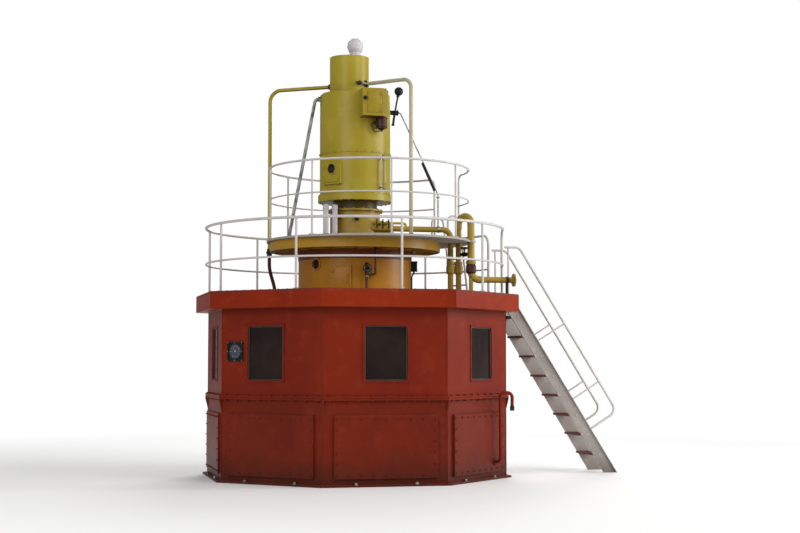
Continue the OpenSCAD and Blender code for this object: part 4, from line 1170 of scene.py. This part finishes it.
def access_plate():
    """The black eye in the access plate with its bezel, and the plate's hinges and screws."""
    bearing, out, size, low = -50, COLUMN_R + 0.035, 0.36, COLUMN_FLANGE + 0.15
    face, eye = (at_bearing(bearing, out, low + size * part) for part in (0.5, 0.72))
    bezel = Shapes()
    bezel.ring(eye, 0.078, 0.098, 0, 0.012, 0.004, 40)
    for side in (-1, 1):
        hinge(bezel, shifted(face, -size / 2 + 0.028, side * 0.12))
    bezel.block(shifted(face, 0, -size / 2 + 0.055), (size - 0.09, 0.035, 0.012), 0.004)
    bezel.piece("access_plate_bezel", YELLOW)
    lens = Shapes()
    lens.turned(eye, [(0, -0.02), (0.084, -0.02), (0.084, -0.008), (0.06, 0), (0.03, 0.005), (0, 0.006)], 40)
    lens.piece("access_plate_eye", BLACK)
    screws = ring_on_face(eye, 6, 0.088, 0.012) + border(face, size - 0.03, size - 0.03, 4, 4)
    bolt_up("access_plate_screws", screws, 0.010, YELLOW, SCREW_HEAD)


def gauge_fittings():
    """Union nuts, weld rings and the white sight of the level gauge on the column."""
    bearing, out, low = 34, COLUMN_R + 0.075, COLUMN_FLANGE + 0.05
    nuts = Shapes()
    for up in (0.02, 0.1, 0.5, 0.57):
        spot = at_bearing(bearing, out, low + up).translation
        nuts.ring(place(spot), 0.02, 0.033, 0, 0.022, 0.003, 6)
    for up in (0.06, 0.54):
        nuts.ring(at_bearing(bearing, COLUMN_R, low + up), 0.012, 0.026, 0, 0.012, 0.002, 20)
    nuts.piece("level_gauge_nuts", STEEL)
    sight = Shapes()
    sight.block(at_bearing(bearing, out + 0.021, low + 0.31), (0.012, 0.34, 0.006), 0.002)
    sight.piece("level_gauge_sight", LAMP_WHITE)


def left_arch():
    """The left arched pipe, and the brown pipe under its coupling, which bends in to its foot."""
    radius, joint_z, overlap = 0.032, DISC_LOW + 0.05, 0.01
    joint, corner = Vector((*ARCH_LEFT, joint_z)), Vector((*ARCH_LEFT, ARCH_Z))
    axis = Vector((CAP_X, 0, ARCH_Z))
    arch = Shapes()
    cap_end = axis + (corner - axis).normalized() * (CAP_R - overlap)
    arch.tube(rounded([joint, corner, cap_end], [0.2], 14), radius, 20)
    piece = arch.piece("left_arch_pipe", YELLOW)
    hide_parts("arch_pipe_left")
    drop = Shapes()
    steps, straight, low = 24, 0.22, 0.05
    bend_high, bend_low = joint_z - straight, DECK + low
    points = []
    for k in range(steps + 1):
        height = joint_z + (DECK - joint_z) * k / steps
        part = min(max((bend_high - height) / (bend_high - bend_low), 0.0), 1.0)
        ease = part * part * (3 - 2 * part)
        points.append((ARCH_LEFT[0] + (DROP_FOOT[0] - ARCH_LEFT[0]) * ease, ARCH_LEFT[1], height))
    drop.tube(points, ARCH_R, 20)
    drop.plug(place((*DROP_FOOT, DECK)), 0.062, 0, 0.016, 0.002, 40)
    drop.piece("drop_pipe", BROWN)
    union = Shapes()
    union.ring(place(joint), ARCH_R, 0.044, -0.07, 0.05, 0.006)
    union.ring(place(joint), ARCH_R, 0.056, -0.035, 0.005, 0.004, 6)
    union.piece("drop_pipe_union", BLACK)


def pipe_unions():
    """The arched pipes' unions at the cap, a cock with its lever, and the sockets at their feet."""
    nuts = Shapes()
    for x, y in (ARCH_LEFT, ARCH_RIGHT):
        away = Vector((x - CAP_X, y, 0)).normalized()
        spot = place(Vector((CAP_X, 0, ARCH_Z)) + away * CAP_R, away)
        nuts.ring(spot, ARCH_R, 0.052, 0.004, 0.045, 0.008, 6)
        nuts.ring(spot, ARCH_R, 0.06, 0, 0.012, 0.002)
    cock_bearing, link_end = 16, 44
    cock = at_bearing(cock_bearing, CAP_R, ARCH_Z, (CAP_X, 0))
    nuts.plug(cock, 0.034, 0, 0.055, 0.006)
    nuts.plug(cock, 0.018, 0.055, 0.075, 0.004, 6)
    nuts.block(shifted(cock, -0.03, -0.005, 0.062), (0.13, 0.024, 0.01), 0.003)
    feet = [place((*ARCH_RIGHT, WALKWAY)), place((*DROP_FOOT, DECK))]
    for foot in feet:
        nuts.ring(foot, ARCH_R, 0.046, 0.014, 0.075, 0.006)
    nuts.piece("pipe_unions", BLACK)
    link = Shapes()
    link.tube([at_bearing(angle, CAP_R + 0.03, ARCH_Z, (CAP_X, 0)).translation
               for angle in range(cock_bearing, link_end, 3)], 0.02, 12)
    link.piece("cap_cock_pipe", PALE_OLIVE)
    screws = [spot for foot in feet for spot in ring_on_face(foot, 4, 0.054, 0.016, first=0.5)]
    bolt_up("arch_foot_screws", screws, 0.011, STEEL)


def lamp_fittings():
    """A clamp ring and screws where the globe sits in its socket."""
    low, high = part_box("signal_lamp")
    radius = (high.x - low.x) / 2
    middle = place((0, 0, high.z - radius))
    rings = Shapes()
    rings.bead(middle, radius, 0.008, 48, 8)
    rings.ring(middle, radius - 0.042, radius - 0.024, -0.098, -0.086, 0.003, 36)
    rings.piece("lamp_rings", LAMP_WHITE)
    bolt_up("lamp_screws", circle(6, radius - 0.031, CAP_HIGH + 0.024, UP), 0.01, STEEL)


# Control box and lever

def box_door():
    """The raised door of the control box with hinges, a knob and screws."""
    width, height, door_t = 0.24, BOX_HIGH - BOX_LOW - 0.1, 0.008
    face = place((BOX_LEFT + 0.20, BOX_FRONT, (BOX_LOW + BOX_HIGH) / 2), FRONT)
    door = Shapes()
    door.block(face, (width, height, door_t), 0.003)
    for side in (-1, 1):
        hinge(door, shifted(face, width / 2 - 0.012, side * 0.13, 0.007), 0.07, 0.007)
    door.block(place((BOX_LEFT + 0.24, BOX_FRONT + 0.21, BOX_HIGH)), (0.35, 0.3, 0.006), 0.002)
    door.piece("control_box_door", BOX_YELLOW)
    screws = border(shifted(face, z=door_t), width - 0.04, height - 0.04, 3, 4)
    bolt_up("control_box_screws", screws, 0.011, BOX_YELLOW, SCREW_HEAD)
    knob = Shapes()
    knob.turned(shifted(face, -0.165, 0.055), [(0, 0), (0.024, 0), (0.014, 0.012), (0.014, 0.02),
                                               (0.03, 0.026), (0.034, 0.038), (0.024, 0.050), (0, 0.052)], 24)
    knob.piece("control_box_knob", BLACK)


def actuator_fittings():
    """Bands and the end cap of the actuator, its side plug and a thin bent rod."""
    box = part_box("actuator")
    x, y, low = box[1].x - 0.09, (box[0].y + box[1].y) / 2, box[0].z
    plug_z = low + 0.09
    foot = place((x, y, low), -UP)
    dark = Shapes()
    for up in (0.015, 0.145):
        dark.ring(place((x, y, low + up)), 0.088, 0.097, 0, 0.02, 0.003, 32)
    dark.plug(foot, 0.05, 0, 0.02, 0.004)
    dark.plug(foot, 0.018, 0.02, 0.05, 0.004, 6)
    dark.plug(place((box[0].x, y, plug_z), -RIGHT), 0.026, 0, 0.03, 0.005, 6)
    dark.piece("actuator_bands", BLACK)
    start = Vector((box[0].x - 0.018, y, plug_z))
    corners = [start, start + Vector((-0.05, 0, -0.01)), start + Vector((0, 0, -0.15)),
               Vector((x - 0.02, y, low - 0.04))]
    rod = Shapes()
    rod.tube(rounded(corners, [0.025, 0.04], 6), 0.009, 10)
    rod.piece("actuator_rod", BROWN)


def lever_fittings():
    """The clevis, pin and collars of the hand lever."""
    pivot = Vector((COLUMN_R + 0.08, LEVER_Y, LEVER_Z))
    hub = place((COLUMN_R + 0.12, LEVER_Y, LEVER_Z), RIGHT)
    iron = Shapes()
    iron.plug(hub, 0.05, 0, 0.014, 0.003, 28)
    iron.plug(hub, 0.02, 0.014, 0.036, 0.004, 6)
    for way in (-FRONT, FRONT):
        iron.plug(place(pivot + way * 0.03, way), 0.03, 0, 0.03, 0.004, 20)
    iron.plug(place((COLUMN_R + 0.05, LEVER_Y, LEVER_Z - 0.2), -UP), 0.028, 0, 0.022, 0.004, 6)
    neck = Vector((COLUMN_R + 0.15, LEVER_Y, top_of("hand_lever") - 0.075))
    stem = (neck - pivot).normalized()
    iron.ring(place(neck - stem * 0.09, stem), 0.014, 0.026, -0.01, 0.02, 0.004, 20)
    iron.piece("lever_fittings", BLACK)


# Pipes

def flange_bolts():
    """Through bolts in the pairs of flanges, and screws in the flanges on the deck."""
    spots = []
    for x, y, radius, _, bolt_out, thick, count in UPRIGHTS:
        for height, way in ((JOINT_Z + 2 * thick + GASKET, UP), (JOINT_Z, -UP), (DECK + thick, UP)):
            spots += circle(count, radius + bolt_out, height, way, (x, y), 10)
    bolt_up("pipe_flange_bolts", spots, 0.013, STEEL)


def couplings():
    """The thick couplings under the flanges of the upright pipes, and rings round the pipes' feet."""
    slip, swell = 0.004, 0.026
    ochre, brown = Shapes(), Shapes()
    for x, y, radius, *_ in UPRIGHTS:
        shapes, foot = (brown, LEG_R) if radius == RISER_R else (ochre, radius)
        shapes.turned(place((x, y, JOINT_Z)),
                      [(radius - slip, -0.16), (radius + 0.010, -0.16), (radius + swell, -0.135),
                       (radius + swell, -0.03), (radius + 0.010, -0.006), (radius - slip, -0.006)],
                      closed=True)
        brown.ring(place((x, y, DECK)), foot - slip, foot + 0.012, 0.024, 0.07, 0.004, 32)
    ochre.piece("supply_couplings", OCHRE)
    brown.piece("riser_coupling", BROWN)


def flanges(shapes, upright, steps):
    """The flange on the deck and the pair higher up, on one upright pipe."""
    x, y, radius, out, _, thick, _ = upright
    for height in (DECK, JOINT_Z, JOINT_Z + thick + GASKET):
        shapes.plug(place((x, y, height)), radius + out, 0, thick, 0.002, steps)


def supply_lines():
    """The upright supply lines with their flanges. One bends to the neck, one rises to the loop."""
    inner, outer = SUPPLY_X
    weld, taper, socket = 0.006, 0.05, 0.085
    lines = Shapes()
    corners = [(INSIDE_NECK, SUPPLY_Y, SUPPLY_Z), (inner, SUPPLY_Y, SUPPLY_Z), (inner, SUPPLY_Y, DECK)]
    lines.tube(rounded(corners, [PIPE_BEND], 12), SUPPLY_R, 32)
    reducer = place((outer, SUPPLY_Y, LOOP_Z - LOOP_BEND - 0.09))
    lines.tube([(outer, SUPPLY_Y, DECK), reducer.translation + UP * 0.01], SUPPLY_R, 32)
    lines.turned(reducer, [(0, 0), (SUPPLY_R, 0), (RISER_R, taper), (RISER_R, socket), (0, socket)])
    for upright in UPRIGHTS[:2]:
        flanges(lines, upright, 40)
    for spot, radius in ((reducer, SUPPLY_R), (shifted(reducer, z=taper), RISER_R),
                         (place((inner - PIPE_BEND, SUPPLY_Y, SUPPLY_Z), RIGHT), SUPPLY_R),
                         (place((inner, SUPPLY_Y, SUPPLY_Z - PIPE_BEND)), SUPPLY_R)):
        lines.bead(spot, radius, weld, 32)
    piece = lines.piece("supply_lines", OCHRE)
    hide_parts("supply_pipes")
    foot = Vector((LINE_FOOT_X, SUPPLY_Y, SUPPLY_Z))
    post = Shapes()
    post.tube([foot + UP * (SUPPLY_R - 0.01), Vector((*foot.xy, foot_of("control_line")))], 0.014, 14)
    post.ring(place(foot, RIGHT), SUPPLY_R - 0.008, SUPPLY_R + 0.006, -0.02, 0.02, 0.002, 36)
    post.piece("control_line_post", STEEL)


def drain_line():
    """The drain line. It loops over from the outer supply line, comes down and turns to the edge."""
    elbow_end, taper, cut_x, weld = 0.2, 0.05, 2.3, 0.006
    rise, top = Vector((SUPPLY_X[1], SUPPLY_Y, LOOP_Z)), Vector((*RISER, LOOP_Z))
    low = Vector((*RISER, RUN_Z))
    run = low + RIGHT * elbow_end
    reach = cut_x + 0.01 - run.x
    line = Shapes()
    # The end of the run, with its flange, is cut from a merged copy of the CAD mesh
    line.bm.from_mesh(NODES["drain_pipe"].data)
    bmesh.ops.remove_doubles(line.bm, verts=line.bm.verts, dist=1e-5)
    whole = line.bm.verts[:] + line.bm.edges[:] + line.bm.faces[:]
    bmesh.ops.bisect_plane(line.bm, geom=whole, plane_co=(cut_x, 0, 0), plane_no=RIGHT, clear_inner=True)
    bmesh.ops.holes_fill(line.bm, edges=[edge for edge in line.bm.edges if edge.is_boundary])
    corners = [rise - UP * (LOOP_BEND + 0.01), rise, top, low, run]
    line.tube(rounded(corners, [LOOP_BEND, LOOP_BEND, PIPE_BEND], 12), RISER_R, 32)
    line.turned(place(run, RIGHT), [(0, 0), (RISER_R, 0), (RUN_R, taper), (RUN_R, reach), (0, reach)])
    welds = [(rise - UP * LOOP_BEND, UP, RISER_R), (top - UP * LOOP_BEND, UP, RISER_R),
             (low + UP * PIPE_BEND, UP, RISER_R), (low + RIGHT * PIPE_BEND, RIGHT, RISER_R),
             (run, RIGHT, RISER_R), (run + RIGHT * taper, RIGHT, RUN_R)]
    for spot, along, radius in welds:
        line.bead(place(spot, along), radius, weld, 32)
    flanges(line, UPRIGHTS[2], 48)
    line.plug(place((*RISER, DECK + 0.01)), LEG_R, 0, RUN_Z - DECK + 0.04)
    piece = line.piece("drain_line", OCHRE)
    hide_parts("drain_pipe")


def run_support():
    """The small bracket that carries the drain run at the edge of the roof."""
    x, y, foot_t = ROOF_OUT - 0.055, RISER[1], 0.01
    bracket = Shapes()
    bracket.block(place((x, y, DECK)), (0.09, 0.16, foot_t), 0.002)
    bracket.block(place((x, y, DECK + foot_t)), (0.03, 0.06, RUN_Z - DECK - RUN_R - 0.012), 0.002)
    for side in (-1, 1):
        bracket.block(place((x, y + side * (RUN_R + 0.018), RUN_Z - 0.017)), (0.05, 0.010, 0.035), 0.002)
    bracket.ring(place((x, y, RUN_Z), RIGHT), RUN_R + 0.0005, RUN_R + 0.008, -0.02, 0.02, 0.001, 36)
    bracket.piece("run_support", BLACK)
    feet = [place((x + dx, y + dy, DECK + foot_t)) for dx in (-0.03, 0.03) for dy in (-0.06, 0.06)]
    bolt_up("run_support_bolts", feet, 0.014, STEEL)


def run_end():
    """The raised face and the bore at the open end of the drain run."""
    bore_r = 0.0445
    face = place((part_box("drain_pipe")[1].x, RISER[1], RUN_Z), RIGHT)
    rim = Shapes()
    rim.ring(face, 0.044, 0.066, 0, 0.003, 0.001, 40)
    rim.piece("drain_flange_face", STEEL)
    bore = Shapes()
    bore.turned(face, [(0, 0.0002), (0.036, 0.0002), (0.042, 0.0012), (bore_r, 0.0012), (bore_r, -0.001),
                       (0, -0.001)], 40)
    bore.piece("drain_bore", RUBBER)


def crossover_wheel():
    """The red rim of the crossover valve's handwheel."""
    low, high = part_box("crossover_valve")
    wheel = Shapes()
    handwheel(wheel, place(((low.x + high.x) / 2, (low.y + high.y) / 2, high.z + 0.006)), 0.068, 0.018)
    wheel.piece("crossover_handwheel", WHEEL_RED)


def flexible_lines():
    """The ribbed conduit to the column and the control line with its dark sleeve."""
    corners = [(-COLUMN_R - 0.0003, 0, CONDUIT_Z), (-COLUMN_R - 0.09, 0, CONDUIT_Z),
               (CONDUIT_X, 0, WALKWAY + 0.12), (CONDUIT_X, 0, WALKWAY)]
    conduit = ribbed_tube("ribbed_conduit", rounded(corners, [0.07, 0.4], 12), 0.028, 0.009, 0.03, ZINC)
    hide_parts("conduit")
    foot = place((CONDUIT_X, 0, WALKWAY))
    ends = Shapes()
    ends.ring(foot, 0.02, 0.042, 0, 0.05, 0.006)
    ends.ring(foot, 0.02, 0.05, 0, 0.012, 0.002)
    ends.ring(place((-COLUMN_R, 0, CONDUIT_Z), -RIGHT), 0.02, 0.042, 0, 0.05, 0.006)
    ends.piece("conduit_ferrules", STEEL)

    start = Vector((COLUMN_R + 0.1203, LEVER_Y, LEVER_Z))
    knee = start + RIGHT * 0.056
    end = Vector((LINE_FOOT_X, SUPPLY_Y, foot_of("control_line")))
    line = Shapes()
    line.tube(rounded([start, knee, end + UP * 0.06, end], [0.03, 0.15], 10), 0.011, 12)
    line.ring(place(start, RIGHT), 0.010, 0.022, 0, 0.03, 0.004, 6)
    line.ring(place(end), 0.010, 0.03, 0, 0.025, 0.004, 6)
    piece = line.piece("control_line_tube", ZINC)
    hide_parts("control_line")
    way = (end - knee).normalized()
    sleeve = [knee + way * (0.945 + 0.02 * k) for k in range(27)]
    ribbed_tube("control_line_sleeve", sleeve, 0.025, 0.006, 0.022, BLACK)


def sensor_caps():
    """A socket at the foot and a cap on top of each sensor post."""
    radius = 0.045
    caps, sockets = Shapes(), Shapes()
    for spot in SENSORS:
        top = place((*spot, top_of("sensor_posts")))
        caps.ring(top, radius, 0.052, -0.05, -0.005, 0.004, 32)
        caps.turned(top, [(0, 0), (0.05, 0), (0.05, 0.012), (0.042, 0.024), (0.02, 0.03), (0, 0.031)])
        sockets.ring(place((*spot, WALKWAY)), radius, 0.058, 0, 0.09, 0.006, 32)
    caps.piece("sensor_caps", LAMP_WHITE)
    sockets.piece("sensor_sockets", DISC_YELLOW)


# Stair

def step_corner(k):
    """The nosing of tread k: its front edge and its top."""
    return STAIR_X + k * GOING, DECK - k * RISE


def tread_gratings():
    """Each tread as a frame with bearing bars, cross bars and a plated nosing."""
    half = STRINGER_IN - 0.0003
    plate_t, nose_w, nose_t, pitch = 0.005, 0.04, 0.006, 0.030
    bars, crosses, cross_pitch, studs, stud_pitch = 6, 7, 0.1, 22, 0.031
    inner = 2 * (half - plate_t)
    frames = Shapes()
    bearing, cross = [], []

    def plate(x, y, z, size, edge=0.0):
        frames.block(place((x, y, z), UP, (0, 1, 0)), size, edge)

    for k in range(1, RISERS):
        front, top = step_corner(k)
        back, low = front - TREAD_DEPTH, top - TREAD_T
        middle = (front + back) / 2
        for side in (-1, 1):
            plate(middle, side * (half - plate_t / 2), low, (TREAD_DEPTH, plate_t, TREAD_T))
        plate(front - nose_w / 2, 0, top - nose_t, (nose_w, inner, nose_t), 0.002)
        plate(front - plate_t / 2, 0, low, (plate_t, inner, TREAD_T - nose_t))
        plate(back + plate_t / 2, 0, low, (plate_t, inner, TREAD_T))
        bearing += [((back + pitch * (j + 1), 0, low + TREAD_T / 2), inner, math.pi / 2)
                    for j in range(bars)]
        cross += [((middle - 0.02, (j - (crosses - 1) / 2) * cross_pitch, top - nose_t),
                   TREAD_DEPTH - nose_w - 0.008, 0.0) for j in range(crosses)]
        for j in range(studs):
            x = front - nose_w / 2 + (0.008 if j % 2 else -0.008)
            stud = place((x, (j - (studs - 1) / 2) * stud_pitch, top))
            frames.plug(stud, 0.006, -0.001, 0.0012, steps=8)
    piece = frames.piece("tread_frames", TREAD_RED)
    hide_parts("stair_treads")
    flat_bars("tread_bearing_bars", bearing, plate_t, TREAD_T - 0.002, TREAD_RED)
    flat_bars("tread_cross_bars", cross, 0.006, 0.009, TREAD_RED)


def stair_bolts():
    """The bolts that hold each tread to the stringers."""
    web, inset = STRINGER_IN + 0.012, 0.06
    spots = []
    for k in range(1, RISERS):
        front, top = step_corner(k)
        spots += [place((front - along, side * web, top - TREAD_T / 2), (0, side, 0))
                  for side in (-1, 1) for along in (inset, TREAD_DEPTH - inset)]
    bolt_up("tread_bolts", spots, 0.02, RAIL_WHITE)


def handrail_rings():
    """Weld rings where the stays meet the stringers and the handrails, and at the head posts."""
    stay_r, edge_up, lift = 0.015, 0.03 / math.cos(SLOPE), 0.002
    reach = (1.11 - edge_up) * math.cos(SLOPE)
    square = Vector((math.sin(SLOPE), 0, math.cos(SLOPE)))
    rings = Shapes()

    def on_stringer(part, y, along):
        """A frame square to a stringer, at a part of its length from the top."""
        front, top = step_corner(RISERS * part)
        return place(Vector((front, y, top + edge_up)) + square * along, square)

    for side in (-1, 1):
        y = side * (STAIR_HALF - 0.025)
        for part in (0.27, 0.6):
            for along in (lift, reach - 0.02):
                rings.bead(on_stringer(part, y, along), stay_r, 0.008)
        rings.bead(on_stringer(0.77, y, lift), 0.02, 0.009, 20)
        head = Vector((STAIR_X - 0.02, y, DECK))
        rings.ring(place(head), 0.014, 0.032, 0, 0.008, 0.002, 24)
        rings.bead(place(head + UP * 0.81), stay_r, 0.008)
    rings.piece("handrail_weld_rings", RAIL_WHITE)


for make in (weld_beads, housing_bolts, window_seals, instrument, gooseneck_fittings, deck_screws,
             bearing_bolts, bearing_port, bearing_hatch, bearing_valve, terminal_box, walkway_grating,
             ladder_fittings, neck_bolts, neck_fittings, column_bolts, access_plate, gauge_fittings,
             left_arch, pipe_unions, couplings, supply_lines, drain_line, run_support, lamp_fittings,
             box_door, actuator_fittings, lever_fittings, flange_bolts, run_end, crossover_wheel,
             flexible_lines, sensor_caps, tread_gratings, stair_bolts, handrail_rings):
    make()
rail_fittings("roof_rail", ROOF_RAIL)
rail_fittings("platform_rail", DECK_RAIL)


# Stage

WHITE = (1.0, 1.0, 1.0, 1.0)


def studio_floor():
    """A pale floor that fades to white with distance, as a camera sees it."""
    reach, fade_near, fade_far = 90.0, 5.0, 17.0
    mesh = bpy.data.meshes.new("studio_floor")
    mesh.from_pydata([(-reach, -reach, 0), (reach, -reach, 0), (reach, reach, 0), (-reach, reach, 0)],
                     [], [(0, 1, 2, 3)])
    pale = Finish("studio_floor_paint", None, Roughness=0.75, Base_Color=(0.80, 0.80, 0.79, 1.0))
    distance = pale.node("ShaderNodeVectorMath", {0: pale.place}, "Value", operation="LENGTH")
    seen = pale.node("ShaderNodeLightPath", out="Is Camera Ray")
    white = pale.node("ShaderNodeEmission", {"Color": WHITE, "Strength": 1.0})
    blend = pale.node("ShaderNodeMixShader", {0: pale.between(distance, fade_near, fade_far) * seen,
                                              1: Wire(pale, pale.shader.outputs[0]), 2: white})
    pale.tree.links.new(blend.socket, pale.tree.nodes["Material Output"].inputs["Surface"])
    mesh.materials.append(pale.material)
    floor = new_object("studio_floor", mesh)


def studio_surround():
    """Soft white light from all round, and plain white where a camera looks past the floor."""
    strength, less_in_gloss = 0.55, 0.30
    world = bpy.data.worlds.new("studio_world")
    bpy.context.scene.world = world
    world.use_nodes = True
    sky = Graph(world.node_tree)
    soft = sky.tree.nodes["Background"]
    soft.inputs["Color"].default_value = WHITE
    glossy = sky.node("ShaderNodeLightPath", out="Is Glossy Ray")
    dimmed = sky.node("ShaderNodeMath", {0: glossy, 1: -less_in_gloss, 2: strength},
                      operation="MULTIPLY_ADD")
    sky.tree.links.new(dimmed.socket, soft.inputs["Strength"])
    plain = sky.node("ShaderNodeBackground", {"Color": WHITE, "Strength": 1.0})
    seen = sky.maths("MAXIMUM", sky.node("ShaderNodeLightPath", out="Is Camera Ray"),
                     sky.node("ShaderNodeLightPath", out="Is Transmission Ray"))
    pick = sky.node("ShaderNodeMixShader", {0: seen, 1: Wire(sky, soft.outputs[0]), 2: plain})
    sky.tree.links.new(pick.socket, sky.tree.nodes["World Output"].inputs["Surface"])


def aimed(name, data, spot, aim):
    """An object for a lamp or a camera at a spot, which looks at aim."""
    thing = new_object(name, data)
    thing.location = spot
    thing.rotation_euler = (Vector(aim) - Vector(spot)).to_track_quat("-Z", "Y").to_euler()
    return thing


def lamps():
    for name, spot, aim_z, size, watts in (("key_lamp", (11, -14, 13), 3.5, 8.0, 1350),
                                           ("side_lamp", (17, -4, 7), 4.0, 7.0, 1750),
                                           ("fill_lamp", (-13, -15, 9), 3.0, 10.0, 1300),
                                           ("rear_lamp", (4, 14, 12), 4.0, 8.0, 1500)):
        data = bpy.data.lights.new(name, "AREA")
        data.shape = "SQUARE"
        data.size = size
        data.energy = watts
        aimed(name, data, spot, (0, 0, aim_z))


def camera():
    """The photograph's view, from eye height on the floor."""
    eye, aim = (-5.19, -24.84, 1.88), (0.78, 0.0, 3.5)
    data = bpy.data.cameras.new("camera")
    data.lens = 68.0
    data.clip_end = 300.0
    bpy.context.scene.camera = aimed("camera", data, eye, aim)


studio_floor()
studio_surround()
lamps()
camera()

bpy.context.scene.view_settings.view_transform = "Standard"
